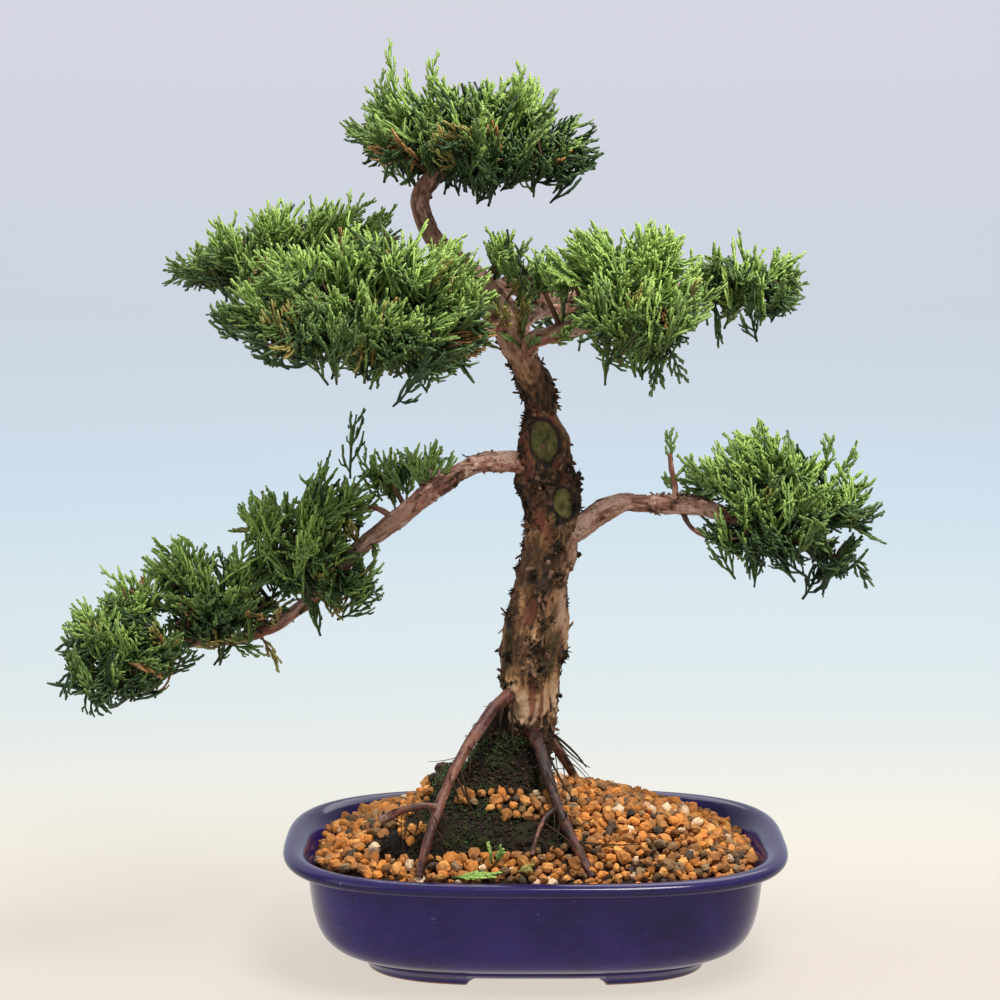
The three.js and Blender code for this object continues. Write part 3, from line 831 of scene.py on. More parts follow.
# %% Make the gravel
def grain_points(x, y, z, radius, rng):
    """Balls squashed along three axes, dented at every point, and turned to any side."""
    count = len(x)
    squash = rng.uniform((0.95, 0.75, 0.62), (1.25, 1.05, 0.9), (count, 3))
    dent = 1 + rng.normal(0, 0.13, (count, len(BALL_POINTS), 1))
    shape = BALL_POINTS[None] * dent * squash[:, None]
    turn, _ = np.linalg.qr(rng.normal(size=(count, 3, 3)))
    turn[np.linalg.det(turn) < 0, :, 0] *= -1
    shape = np.einsum("nij,nkj->nki", turn, shape) * radius[:, None, None]
    return shape + np.stack([x, y, z], axis=-1)[:, None]


grain_rng = np.random.default_rng(23)
stones = grain_points(grain_x, grain_y, grain_z, grain_radius, grain_rng)
GRAIN_COUNT = len(stones)
grain_shift = np.arange(GRAIN_COUNT)[:, None, None] * len(BALL_POINTS)
grain_faces = (BALL_FACES[None] + grain_shift).reshape(-1, 4)
# The kinds are drawn with weights, and each grain's corners stay inside its own patch.
kind_middle = np.array([0.1, 0.3, 0.49, 0.64, 0.76, 0.86, 0.93, 0.98])
kind_weight = np.array([0.23, 0.22, 0.21, 0.12, 0.10, 0.05, 0.04, 0.03])
grain_kind = grain_rng.choice(kind_middle, GRAIN_COUNT, p=kind_weight)
grain_light = np.clip(grain_rng.normal(0.5, 0.12, GRAIN_COUNT), 0.15, 0.85)
u = grain_kind[:, None] + grain_rng.uniform(-0.015, 0.015, (GRAIN_COUNT, len(BALL_POINTS)))
v = grain_light[:, None] + grain_rng.normal(0, 0.11, (GRAIN_COUNT, len(BALL_POINTS)))
grain_uv = np.stack([u, np.clip(v, 0.02, 0.98)], axis=-1).reshape(-1, 2)[grain_faces.ravel()]
GRAVEL = gravel_material()
make_piece(
    "gravel_grains", stones.reshape(-1, 3), [grain_faces], GRAVEL,
    replaces=["gravel_topping"], uv=grain_uv, smooth=False,
)

# %% [markdown]
# ## The root mound
#
# When the tree was lifted, the old clod stayed between its roots: dark, crumbly soil held by
# fine roots, with moss on the damp side, and a narrow neck of it climbs the trunk's left side. It
# is a stack of ovals joined into one skin. Two sizes of noise push the skin in and out, the
# larger for clods and the smaller for crumbs.

# %% Mound surface
MOUND_ROWS = 90
MOUND_COLUMNS = 200
mound_height = np.linspace(MOUND_LEVELS[0, 0], MOUND_LEVELS[-1, 0], MOUND_ROWS)
mound_angle = full_turn(MOUND_COLUMNS)
height_grid, angle_grid = np.meshgrid(mound_height, mound_angle, indexing="ij")
half_width, half_depth, middle_x, middle_y = mound_level(height_grid)
cosine, sine = np.cos(angle_grid), np.sin(angle_grid)
round_off = (np.abs(cosine) ** MOUND_POWER + np.abs(sine) ** MOUND_POWER) ** (-1 / MOUND_POWER)
mound_points = np.stack([
    middle_x + half_width * cosine * round_off,
    middle_y + half_depth * sine * round_off,
    height_grid,
], axis=-1)
outward_of_mound = np.stack([cosine, sine, 0.35 + 0 * angle_grid], axis=-1)
clods = noise(mound_points, 9, seed=31, octaves=3) * 2.6
crumbs = noise(mound_points, 2.6, seed=32, octaves=3) * 1.0
mound_points = mound_points + unit(outward_of_mound) * (clods + crumbs - 1.2)[..., None]


# %% Mound material
def mound_material():
    """Dark crumbs, with moss where a broader noise is high."""
    material, tree, shader = start_material("old soil and moss", 0.92, 0.25)
    crumb = object_noise(tree, 2.2, detail=8, roughness=0.75)
    colour = ramp(tree, crumb, [
        (0.38, (0.003, 0.002, 0.002)), (0.52, (0.012, 0.007, 0.004)), (0.7, (0.07, 0.037, 0.02)),
    ])
    green = object_noise(tree, 9, detail=5)
    green_mask = ramp(tree, green, [(0.48, grey(0)), (0.6, grey(0.75))])
    colour = mix(tree, green_mask, colour, (0.017, 0.021, 0.005))
    tree.links.new(colour, shader.inputs["Base Color"])
    bump(tree, shader, crumb, 0.8, 0.8)
    return material


MOUND = mound_material()
mound_faces, mound_uv = closed_grid(MOUND_ROWS, MOUND_COLUMNS)
make_piece(
    "root_mound_soil", mound_points.reshape(-1, 3), mound_faces, MOUND,
    replaces=["root_mound"], uv=mound_uv,
)

# %% [markdown]
# ## Bark as a height
#
# Juniper bark is shed in thin papery layers. Where a layer has gone the one below shows, so the
# trunk is a map of flat levels with ragged ledges between them, and rough dark scabs of old bark
# stay here and there. The levels are terraces: slow noise, stretched along the limb, cut at
# whole numbers. Another noise says where the scabs are, and a fine one makes fibres.


# %% Bark relief
def limb_place(turn, along_mm, radius, stretch):
    """A place in space for noise on a limb: round a circle of its radius, and along it divided
    by stretch, so that a pattern closes round the limb and is long along the grain.
    """
    angle = turn * 2 * math.pi
    return np.stack([np.cos(angle) * radius, np.sin(angle) * radius, along_mm / stretch], axis=-1)


def terrace(values, edge, shadow_width):
    """The whole part of values, the ledge that rises to the next one from the share edge onwards,
    and a narrow line of painted shadow just below that ledge.
    """
    level = np.floor(values)
    part = values - level
    ledge = smooth_step((part - edge) / (1 - edge))
    under = np.exp(-(((part - edge + 0.01) / shadow_width) ** 2))
    return level, ledge, under


def bark(turn, along_mm, radius, seed, layer_size, scab_share, stretch=2.4):
    """Height of the bark in mm and its marks: depth (painted shade under ledges and in the hollows
    of scabs), tint, green and scab.

    The height is a broad and a fine terrace, each with its ledge, plus scabs of sharp small
    noise where a slow noise passes the limit that scab_share sets, plus fibres along the grain.
    """
    place = limb_place(turn, along_mm, radius, stretch)
    bent = place + noise(place, layer_size * 0.45, seed + 1, 2)[..., None] * layer_size * 0.22
    bent = bent + noise(place, 1.7, seed + 7, 2)[..., None] * 0.7
    level, ledge, under = terrace(noise(bent, layer_size, seed, 3) * 2.6, 0.8, 0.045)
    thin_level, thin_ledge, thin_ledge_shadow = terrace(
        noise(bent, layer_size * 0.42, seed + 8, 2) * 2.4, 0.84, 0.06)
    under = np.maximum(under, 0.8 * thin_ledge_shadow)
    scab = smooth_step((noise(bent, layer_size * 1.3, seed + 2, 3) + scab_share) * 3.2)
    crumbs = 1 - np.abs(noise(place, 1.9, seed + 4, 3)) * 2
    fibres = noise(limb_place(turn, along_mm, radius, 12), 0.8, seed + 3, 2)
    height = 0.62 * (level + ledge) + 0.36 * (thin_level + thin_ledge) + 0.06 * fibres
    height = height + scab * (0.35 + 1.05 * crumbs)
    level_tone, thin_tone = (
        table_row(steps.astype(np.int64), 0, which, seed)[..., 2]
        for which, steps in enumerate((level, thin_level))
    )
    slow = noise(bent, layer_size * 0.8, seed + 6, 2)
    tint = 0.52 + 0.18 * level_tone + 0.12 * thin_tone + 0.26 * slow + 0.09 * fibres
    tint = np.clip(tint + scab * (0.3 * crumbs - 0.36) + 0.1 * thin_ledge, 0, 1)
    # depth is painted shade: a shadow line under each ledge, and shade in the hollows between a
    # scab's crumbs.
    depth = np.clip(under * (0.45 + 0.6 * slow) + scab * (0.62 - 0.62 * crumbs), 0, 1)
    green = smooth_step((noise(place, layer_size * 1.3, seed + 5, 3) + 0.12) * 1.6)
    return height, {"depth": depth, "tint": tint, "green": green, "scab": scab}


# %% [markdown]
# ## Bark colour
#
# A newly bared layer is pinkish tan, older ones are brown, scabs are dark, and algae put a thin
# olive film on damp parts. Painted shade makes the undersides of ledges and the hollows of scabs
# nearly black. The marks from the shape place these colours, so that a painted dark line is always
# in a real hollow.


# %% Bark material
def bark_material(name, old, mid, fresh, green_share, roughness, olive=(0.095, 0.085, 0.022)):
    """old, mid and fresh are the bark's colours from its darkest layer to its palest."""
    material, tree, shader = start_material(name, roughness, 0.35)
    grain = object_noise(tree, 1.7, detail=8, stretch=1.5, roughness=0.72)
    fleck = object_noise(tree, 2.6, detail=6, roughness=0.65)
    tint = put(tree, "Math", {0: grain, 1: 0.8, 2: -0.4}, operation="MULTIPLY_ADD").outputs[0]
    tint = put(tree, "Math", {0: mark(tree, "tint"), 1: tint}, operation="ADD").outputs[0]
    colour = ramp(tree, tint, [(0.2, old), (0.45, mid), (0.68, fresh), (0.9, pale_of(fresh))])
    young = ramp(tree, tint, [
        (0.22, (0.15, 0.062, 0.042)), (0.44, (0.35, 0.18, 0.135)), (0.66, (0.56, 0.36, 0.285)),
    ])
    colour = mix(tree, mark(tree, "pink"), colour, young)
    colour = mix(tree, mark(tree, "red"), colour, (0.19, 0.055, 0.028))
    patch = ramp(tree, fleck, [(0.57, grey(0)), (0.72, grey(0.6))])
    colour = mix(tree, patch, colour, old)
    damp = put(tree, "Math", {0: mark(tree, "green"), 1: green_share}, operation="MULTIPLY")
    colour = mix(tree, damp.outputs[0], colour, olive)
    wood = object_noise(tree, 3.0, detail=6, stretch=1.6)
    wood = ramp(tree, wood, [
        (0.32, (0.035, 0.032, 0.009)), (0.5, (0.105, 0.098, 0.024)), (0.68, (0.19, 0.175, 0.055)),
    ])
    colour = mix(tree, mark(tree, "scar"), colour, wood)
    # Painted shade: the depth mark darkens the hollows under ledges, in scabs and round the scars
    # almost to black.
    painted_hollow_shade = ramp(tree, mark(tree, "depth"), [(0.12, grey(0)), (0.75, grey(0.92))])
    colour = mix(tree, painted_hollow_shade, colour, (0.014, 0.009, 0.005))
    stain = put(tree, "Math", {0: mark(tree, "stain"), 1: fleck}, operation="ADD").outputs[0]
    stain = ramp(tree, stain, [(0.75, grey(0)), (1.15, grey(0.9))])
    colour = mix(tree, stain, colour, (0.022, 0.012, 0.007))
    tree.links.new(colour, shader.inputs["Base Color"])
    bump(tree, shader, grain, 0.8, 0.5)
    return material


def pale_of(colour):
    """The dry, papery edge of a colour: a step towards cream."""
    return tuple(c + (w - c) * 0.3 for c, w in zip(colour, (0.72, 0.6, 0.46)))


TRUNK_BARK = bark_material(
    "trunk bark", (0.044, 0.021, 0.008), (0.13, 0.06, 0.022), (0.38, 0.20, 0.088), 0.5, 0.72)
BRANCH_BARK = bark_material(
    "branch bark", (0.13, 0.048, 0.032), (0.29, 0.13, 0.088), (0.48, 0.29, 0.22), 0.08, 0.6)
ROOT_BARK = bark_material(
    "root bark", (0.026, 0.008, 0.007), (0.088, 0.026, 0.023), (0.21, 0.105, 0.074), 0.03, 0.42)

# %% [markdown]
# ## The trunk
#
# The trunk leans right, straightens, then turns left as the thin leader. It is one tube whose
# radius changes with height and angle: slow noise for its muscled shape, ruffled bumps for
# knots, two oval scars where branches were sawn off, each with a swollen lip, and the bark's
# height on top of them all.

# %% Trunk path
TRUNK = [
    (-11, 2, 12, 15.5), (-10.5, 2, 22, 14), (-8.5, 2, 33, 12.5), (-4.5, 1, 44, 10.6),
    (-3.4, 0, 54, 10.6), (-3.2, 0, 65, 11.5), (-2.7, 0, 76, 12.4), (-1.2, 0, 86, 12.6),
    (0.8, 0, 95, 11.6), (2.6, 0, 104, 11), (4.4, 0, 114, 11.2), (6.6, 0, 124, 11.5),
    (7.2, 0, 134, 11.5), (5.6, -1, 146, 11.8), (3.6, -2, 158, 10.3), (2.6, -2.5, 168, 9.9),
    (1.7, -3, 178, 7.3), (1, -4, 185, 6.9), (-0.8, -4.5, 191, 7), (-3.8, -5, 197, 6.5),
    (-9, -6, 208, 6.3), (-14, -7, 220, 6), (-20, -8, 229, 5.4), (-30, -9, 239, 4.6),
    (-41, -10, 249, 4), (-46, -10, 259, 3.8), (-47, -9, 267, 3.9), (-42, -7, 274, 3.9),
    (-35.5, -4, 279, 3.4), (-27, -2, 283, 2.6),
]
# A knot is its angle in degrees round the trunk (-90 is the front), height, size and swell.
KNOTS = [
    (-75, 123, 2.6, 1.2), (-63, 111, 3.4, 1.6), (-112, 111, 2.4, 1.1), (-95, 104, 2.4, 1.2),
    (-141, 94, 3.2, 1.5), (-78, 92, 2.2, 1.0), (-82, 82, 4.6, 1.9), (-68, 72, 4.4, 2.0),
    (-135, 76, 2.4, 1.0), (-104, 152, 3.6, 1.6), (-160, 148, 4.0, 1.8), (-30, 140, 3.4, 1.6),
    (-140, 176, 3.0, 1.6), (40, 118, 3.6, 1.6), (95, 96, 4.0, 1.8), (150, 126, 3.4, 1.6),
    (70, 152, 4.2, 1.9), (-165, 112, 2.8, 1.3), (120, 66, 4.2, 1.8), (20, 78, 3.4, 1.5),
    (-178, 195, 2.2, 0.8), (-176, 134, 2.8, 1.0), (-178, 121, 2.2, 0.8), (-175, 100, 2.2, 0.8),
    (-3, 76, 2.6, 1.0), (-2, 101, 1.8, 0.6), (-5, 183, 2.2, 0.9), (-178, 186, 2.4, 0.8),
    (-172, 66, 2.0, 0.7), (-139, 65, 3.8, 2.6), (-100, 48, 3.6, 2.0), (-150, 160, 4.0, 1.9),
    (-20, 148, 3.0, 1.3), (-165, 172, 2.4, 0.9),
]
# Patches where the newest, red bark is bare: angle, height, half width and half height.
RED_PATCHES = [
    (-100, 152, 2.6, 6.0), (-60, 157, 3.0, 3.2), (-86, 146, 2.2, 5.5), (-104, 97, 2.6, 5.5),
    (-120, 137, 3.0, 8.0), (-106, 178, 2.6, 5.0), (-128, 156, 3.2, 9.0), (-112, 146, 2.6, 6.0),
    (-70, 151, 4.0, 3.0), (-140, 168, 2.4, 6.0), (-58, 173, 2.0, 7.0), (-96, 130, 2.2, 5.0),
    (-80, 60, 1.3, 9.0), (-58, 56, 1.2, 8.0),
    (30, 112, 3.0, 7.0), (100, 140, 3.0, 8.0), (160, 92, 3.0, 6.0), (75, 70, 1.6, 9.0),
]
# A scar is its angle, height, half width and half height, in mm.
SCARS = [(-83, 167.5, 6.2, 8.6), (-62, 141.7, 4.8, 6.6)]

TRUNK_ROWS = 560
TRUNK_COLUMNS = 168


def limb_grid(path, rows, columns, first_side):
    """Centre, directions and turn of a limb's grid, from its path with radius."""
    smooth = smooth_path(path, rows)
    centre = smooth[:, :3]
    along, side, across = (part[0] for part in ring_directions(centre[None], first_side))
    turn = np.broadcast_to(np.arange(columns) / columns, (rows, columns))
    angle = turn[..., None] * 2 * math.pi
    out = np.cos(angle) * side[:, None] + np.sin(angle) * across[:, None]
    length = np.concatenate([[0], np.cumsum(np.linalg.norm(np.diff(centre, axis=0), axis=1))])
    along_mm = np.broadcast_to(length[:, None], turn.shape)
    return centre, along, out, turn, along_mm, smooth[:, 3:4]


def angle_gap(turn, degrees):
    """Signed distance round the limb, in radians, from the given angle."""
    gap = turn * 2 * math.pi - math.radians(degrees)
    return (gap + math.pi) % (2 * math.pi) - math.pi


# %% Trunk surface
centre, along, out, turn, along_mm, radius = limb_grid(
    TRUNK, TRUNK_ROWS, TRUNK_COLUMNS, np.array([[1.0, 0, 0]]))
round_points = centre[:, None] + out * radius[..., None]
up = round_points[..., 2]
girth = np.clip((radius - 2) / 9, 0.18, 1)
height, marks = bark(turn, along_mm, radius, 41, 11.0, -0.3)
height = height + noise(round_points, 15, 47, 2) * 1.2
ragged = noise(round_points, 2.6, 48, 2)
for degrees, level, size, swell in KNOTS:
    off = np.hypot(angle_gap(turn, degrees) * radius, up - level) / size * (1 + 0.45 * ragged)
    mass = np.exp(-(off**2))
    height = height + swell * mass + 1.3 * mass * ragged - 1.5 * np.exp(-((off / 0.38) ** 2))
    # The knot darkens, most in its crater and folds: partly its dark old bark, partly painted
    # shade.
    marks["depth"] = np.clip(marks["depth"] + mass * (0.55 - 0.8 * ragged), 0, 1)
    marks["scab"] = np.maximum(marks["scab"], mass)
marks["red"] = np.zeros(turn.shape)
for degrees, level, half_across, half_up in RED_PATCHES:
    off = np.hypot(angle_gap(turn, degrees) * radius / half_across, (up - level) / half_up)
    bare = smooth_step((1.1 - off * (1 + 0.3 * ragged)) / 0.25)
    marks["red"] = np.maximum(marks["red"], bare * 0.85)
    height = height - 0.5 * bare
height = height * girth
marks["scar"] = np.zeros(turn.shape)
for degrees, level, half_across, half_up in SCARS:
    across_off = angle_gap(turn, degrees) * radius / half_across
    off = np.hypot(across_off, (up - level) / half_up) * (1 + 0.07 * ragged)
    face = smooth_step((1.02 - off) / 0.14)
    around = np.exp(-(((off - 1.36) / 0.24) ** 2))
    lip = around * (0.8 + 0.35 * np.clip(across_off, -1, 1) + 0.7 * ragged)
    height = height * (1 - face) - 1.0 * face + 1.6 * lip
    height = height + face * 0.35 * noise(limb_place(turn, along_mm, radius, 2), 2.2, 49, 2)
    marks["scar"] = np.maximum(marks["scar"], face)
    marks["scab"] = marks["scab"] * smooth_step((off - 1.1) / 0.3)
    # The lip's crest is painted paler along a thin line: a painted highlight.
    crest_highlight = np.exp(-(((off - 1.3) / 0.1) ** 2))
    lip_tint = 0.45 + 0.22 * ragged + 0.3 * crest_highlight
    marks["tint"] = marks["tint"] * (1 - 0.7 * around) + 0.7 * around * lip_tint
    # Painted shade: a dark line in the groove where the scar's face meets its lip, and some over
    # the lip's folds.
    scar_edge_shade = np.exp(-(((off - 1.04) / 0.09) ** 2)) + 0.22 * around * (0.3 + ragged)
    marks["depth"] = np.clip(marks["depth"] * (1 - face) + scar_edge_shade, 0, 1)
# A pink strip on the right, a pale foot, and the smooth pink young wood of the thin leader.
STRIP_LOW, STRIP_HIGH, STRIP_FADE = 80, 138, 14
PALE_FOOT_HEIGHT, PALE_FOOT_SPREAD = 57, 11
YOUNG_FROM, YOUNG_FADE = 188, 26
STAIN_TOP = 50  # old soil darkens the bark below this height
strip = np.exp(-((angle_gap(turn, -30) / 0.4) ** 2)) * smooth_step((up - STRIP_LOW) / STRIP_FADE)
strip = strip * smooth_step((STRIP_HIGH - up) / STRIP_FADE)
pale_foot = np.exp(-(((up - PALE_FOOT_HEIGHT) / PALE_FOOT_SPREAD) ** 2))
pale_foot = pale_foot * (0.6 - 0.4 * np.sin(angle_gap(turn, -20)))
young = smooth_step((up - YOUNG_FROM) / YOUNG_FADE)
tint = marks["tint"] + 0.2 * strip + 0.75 * pale_foot - 0.13
marks["tint"] = np.clip(tint * (1 - 0.35 * young) + 0.22 * young, 0, 1)
marks["pink"] = np.clip(0.65 * strip + 0.75 * young, 0, 1) * (1 - 0.5 * marks["depth"])
marks["depth"] = marks["depth"] * (1 - 0.7 * young)
marks["green"] = marks["green"] * (1 - young) * (1 - 0.8 * strip)
marks["stain"] = smooth_step((STAIN_TOP + 6 * ragged - up) / 16)
clear_of_scars = smooth_step(1 - 3 * marks["scar"])
trunk_points = round_points + out * height[..., None]
trunk_faces, trunk_uv = closed_grid(TRUNK_ROWS, TRUNK_COLUMNS)
make_piece(
    "trunk_bark", trunk_points.reshape(-1, 3), trunk_faces, TRUNK_BARK,
    replaces=["trunk"], uv=trunk_uv, marks=marks,
)

# %% [markdown]
# ## Branches and roots
#
# A branch is the same thing as the trunk on a smaller scale, so one function makes them all. It
# gives back the surface, because bark flakes are set on it afterwards. Roots are smoother: their
# bark is thin and purplish, so its height is turned down.

# %% Limb paths
BRANCHES = {
    "branch_low_left": [
        (4, 0, 154, 5), (-8, -5, 157.5, 4.4), (-19, -9, 158.5, 3.9), (-29, -12, 155.8, 3.6),
        (-39, -14, 149.5, 3.6), (-50, -16, 141.5, 3.7), (-60, -17, 133.5, 3.7),
        (-73, -17, 124, 3.6), (-82, -17, 114, 3.4), (-92, -18, 104, 3.3), (-103, -20, 95, 3.2),
        (-116, -22, 89, 2.7), (-130, -24, 87, 2.1), (-145, -26, 86, 1.7), (-161, -28, 86, 1.4),
    ],
    "branch_low_right": [
        (8, 0, 124, 5.6), (20, -4, 132, 5.3), (28, -8, 138.5, 4.8), (36, -11, 142, 4.3),
        (47, -14, 141.8, 3.6), (59, -16, 142, 3.5), (69, -18, 141.5, 3.6), (83, -19, 135.5, 2.7),
        (99, -19, 136, 2.1), (112, -18, 139, 1.6),
    ],
    "branch_right_front": [
        (-5, -6, 201, 4), (-1, -14, 209, 3.7), (6, -22, 211.5, 3.5), (16, -28, 215, 3),
        (26, -33, 217.5, 2.5), (37, -36, 219.5, 2), (50, -38, 222, 1.6),
    ],
    "branch_right_back": [
        (-19, -8, 229, 4), (-12, 0, 229.5, 3.7), (-6, 9, 228, 3.6), (3, 16, 224.5, 3.3),
        (17, 20, 225.5, 2.7), (36, 22, 226, 2.3), (56, 22, 227.5, 2), (77, 22, 229.5, 1.7),
        (93, 22, 232, 1.4),
    ],
    "branch_left_front": [
        (-12, -7, 217, 4), (-21, -20, 213, 3.5), (-33, -32, 211.5, 3.1), (-43, -42, 212.5, 2.7),
        (-57, -48, 214, 2.3), (-74, -51, 217.5, 1.9), (-92, -52, 220.5, 1.5),
    ],
    "branch_left_back": [
        (-24, -8, 233, 3.8), (-31, 6, 231, 3.3), (-42, 19, 231.5, 2.9), (-58, 30, 233, 2.6),
        (-79, 36, 235, 2.2), (-103, 38, 237.5, 1.8), (-124, 38, 240, 1.4),
    ],
    "branch_rear": [
        (-8, -5, 209, 4), (-5, 12, 214.5, 3.4), (1, 28, 217, 3), (12, 42, 218, 2.4),
        (24, 52, 220, 1.7),
    ],
}
TWIGS = {
    "twig_right_upright": [
        (56, -16, 143, 1.5), (56.5, -17, 149, 1.3), (55, -18, 156, 1.1), (54, -18, 163, 0.9),
    ],
    "twig_right_hanging": [
        (59, -17, 140, 1.4), (63, -19, 133, 1.1), (70, -20, 129, 0.9), (77, -21, 127, 0.8),
    ],
    "twig_left_dead": [
        (-58, -16, 136.5, 1.4), (-66, -13, 140, 1.1), (-74, -11, 138, 0.9), (-79, -10, 132, 0.8),
    ],
}
ROOTS = {
    "root_left": [
        (-4, -4, 66, 4.4), (-11, -10, 61.2, 3.1), (-17.5, -15, 56.5, 2.5),
        (-24.5, -24, 48.5, 2.35), (-31.5, -32, 38.5, 2.2), (-37, -41, 28.5, 2.05),
        (-40.5, -49, 20, 1.95), (-44, -58, 11, 1.8), (-47, -64, -1, 1.7),
    ],
    "root_left_side": [
        (-39, -46, 23, 1.5), (-45, -50, 24.5, 1.55), (-53, -52, 23.5, 1.6), (-58.5, -52, 21, 1.8),
        (-63, -52, 19, 1.9),
    ],
    "root_right": [
        (-3, -4, 47, 3.2), (1, -17, 42, 2.6), (4.5, -28, 32, 2.4), (8, -37, 23, 2.15),
        (12, -47, 15, 2), (16.5, -56, 8, 1.9), (22, -64, -1, 1.7),
    ],
    "root_right_side": [
        (8.5, -39, 21, 1.6), (4, -45, 19, 1.2), (0.5, -51, 14, 1), (-2, -57, 6, 0.9),
    ],
    "root_rear": [
        (2, 3, 43, 3.4), (9, 9, 35, 2.4), (14, 14, 26, 2), (20, 20, 15, 1.7),
    ],
}


# %% Make the limbs
LIMB_ROW_MM = 0.62  # length of one row of a limb's grid


def make_limb(name, path, material, seed, columns, relief, lumps, scab_share, pink=0.1,
              depth=1.0):
    """A tube with bark: relief scales the bark's height, and lumps is the slow swelling as a
    share of the radius. Returns the surface, its outward and lengthwise directions and marks.
    """
    rows = int(sum(math.dist(a[:3], b[:3]) for a, b in zip(path, path[1:])) / LIMB_ROW_MM)
    centre, along, out, turn, along_mm, radius = limb_grid(
        path, rows, columns, np.array([[0.3, 0.2, 1.0]]))
    points = centre[:, None] + out * radius[..., None]
    height, marks = bark(turn, along_mm, radius, seed, 6.5, scab_share, stretch=3.0)
    rings = noise(limb_place(turn, along_mm, radius, 0.5), 3.0, seed + 8, 2)
    swelling = noise(points, 8, seed + 9, 2) * lumps * radius + rings * lumps * 0.5
    height = height * relief * np.clip(radius / 4, 0.3, 1) + swelling
    points = points + out * height[..., None]
    faces, uv = closed_grid(rows, columns)
    marks["scar"] = np.zeros(turn.shape)
    marks["stain"] = np.zeros(turn.shape)
    marks["red"] = smooth_step((noise(points, 7, seed + 10, 2) - 0.22) * 5) * 0.5
    marks["pink"] = np.full(turn.shape, pink)
    # depth scales the painted shade of the depth mark; roots get less of it.
    marks["depth"] = marks["depth"] * depth
    make_piece(name + "_wood", points.reshape(-1, 3), faces, material,
               replaces=[name], uv=uv, marks=marks)
    return points, out, along, marks["scab"]


flake_share = (marks["scab"] + 0.1) * (1 - 0.97 * young) * clear_of_scars
limb_surfaces = {"trunk": (trunk_points, out, along, flake_share)}
for number, (limb_name, limb_path) in enumerate(BRANCHES.items()):
    limb_surfaces[limb_name] = make_limb(
        limb_name, limb_path, BRANCH_BARK, seed=60 + number * 10, columns=56,
        relief=0.45, lumps=0.13, scab_share=-0.42,
        pink=0.55 if limb_name == "branch_low_right" else 0.15)
for number, (limb_name, limb_path) in enumerate(TWIGS.items()):
    make_limb(limb_name, limb_path, BRANCH_BARK, seed=140 + number * 10, columns=16,
              relief=0.2, lumps=0.2, scab_share=-0.3)
for number, (limb_name, limb_path) in enumerate(ROOTS.items()):
    limb_surfaces[limb_name] = make_limb(
        limb_name, limb_path, ROOT_BARK, seed=180 + number * 10, columns=40,
        relief=0.22, lumps=0.15, scab_share=-0.4, pink=0.0, depth=0.5)

# %% [markdown]
# ## Bark flakes
#
# Scraps of bark stand off the trunk and hang under the branches, and they are what makes the
# outline ragged. A bump in the material could not do that, so each scrap is a flat tube that is
# fixed at one end and curls outwards. They are strewn where the bark has scabs.


# %% Flake material
def flake_material():
    """Colour from the map alone: v picks the flake's kind and u darkens its fixed end."""
    material, tree, shader = start_material("bark flakes", 0.85, 0.2)
    age, kind_value = map_values(tree)
    kind = ramp(tree, kind_value, [
        (0.05, (0.016, 0.014, 0.007)), (0.4, (0.058, 0.034, 0.018)), (0.62, (0.15, 0.07, 0.042)),
        (0.82, (0.29, 0.165, 0.11)), (0.97, (0.52, 0.39, 0.28)),
    ])
    light = ramp(tree, age, [(0.0, grey(0.45)), (1.0, grey(1.0))])
    tree.links.new(mix(tree, 1.0, kind, light, "MULTIPLY"), shader.inputs["Base Color"])
    return material


FLAKES = flake_material()


# %% Strew the flakes
def make_flakes(name, limbs, count, size, tone_middle, seed):
    """Flakes on limbs: each starts just under the bark, leans along the limb and out from it,
    and curls outwards. A place is drawn in proportion to its scab mark plus a little. count is
    for a limb with as many rows as the trunk.
    """
    rng = np.random.default_rng(seed)
    parts = []
    for limb in limbs:
        points, outward, lengthwise, scab = limb_surfaces[limb]
        share = (scab + 0.02).ravel()
        share = share / share.sum()
        number = max(int(count * len(points) / TRUNK_ROWS), 20)
        place = rng.choice(share.size, number, p=share)
        row, column = np.unravel_index(place, scab.shape)
        away = outward[row, column]
        turned = rng.uniform(-math.pi, math.pi, (number, 1))
        way = lengthwise[row] * np.cos(turned) + np.cross(away, lengthwise[row]) * np.sin(turned)
        broad = np.cross(away, way)
        lean = rng.beta(1.2, 4.0, (number, 1)) * 0.9
        direction = unit(way + away * lean)
        curl = away * rng.uniform(-0.05, 0.4, (number, 1))
        curl = curl + broad * rng.normal(0, 0.15, (number, 1))
        length = size * rng.uniform(0.5, 1.5, number)
        width = size * rng.uniform(0.2, 0.5, number)
        tone = rng.normal(tone_middle, 0.17, number)
        parts.append(tubes(points[row, column] - away * 0.25, direction, length, curl, width,
                           tone, broad, (0.5, 1.05, 0.7, 0.9, 0.3), 6, flatness=0.12))
    points, faces, uv = join(parts)
    make_piece(name, points, faces, FLAKES, uv=uv)


make_flakes("trunk_flakes", ["trunk"], count=620, size=3.0, tone_middle=0.55, seed=500)
make_flakes("branch_flakes", list(BRANCHES), count=230, size=2.2, tone_middle=0.68, seed=501)


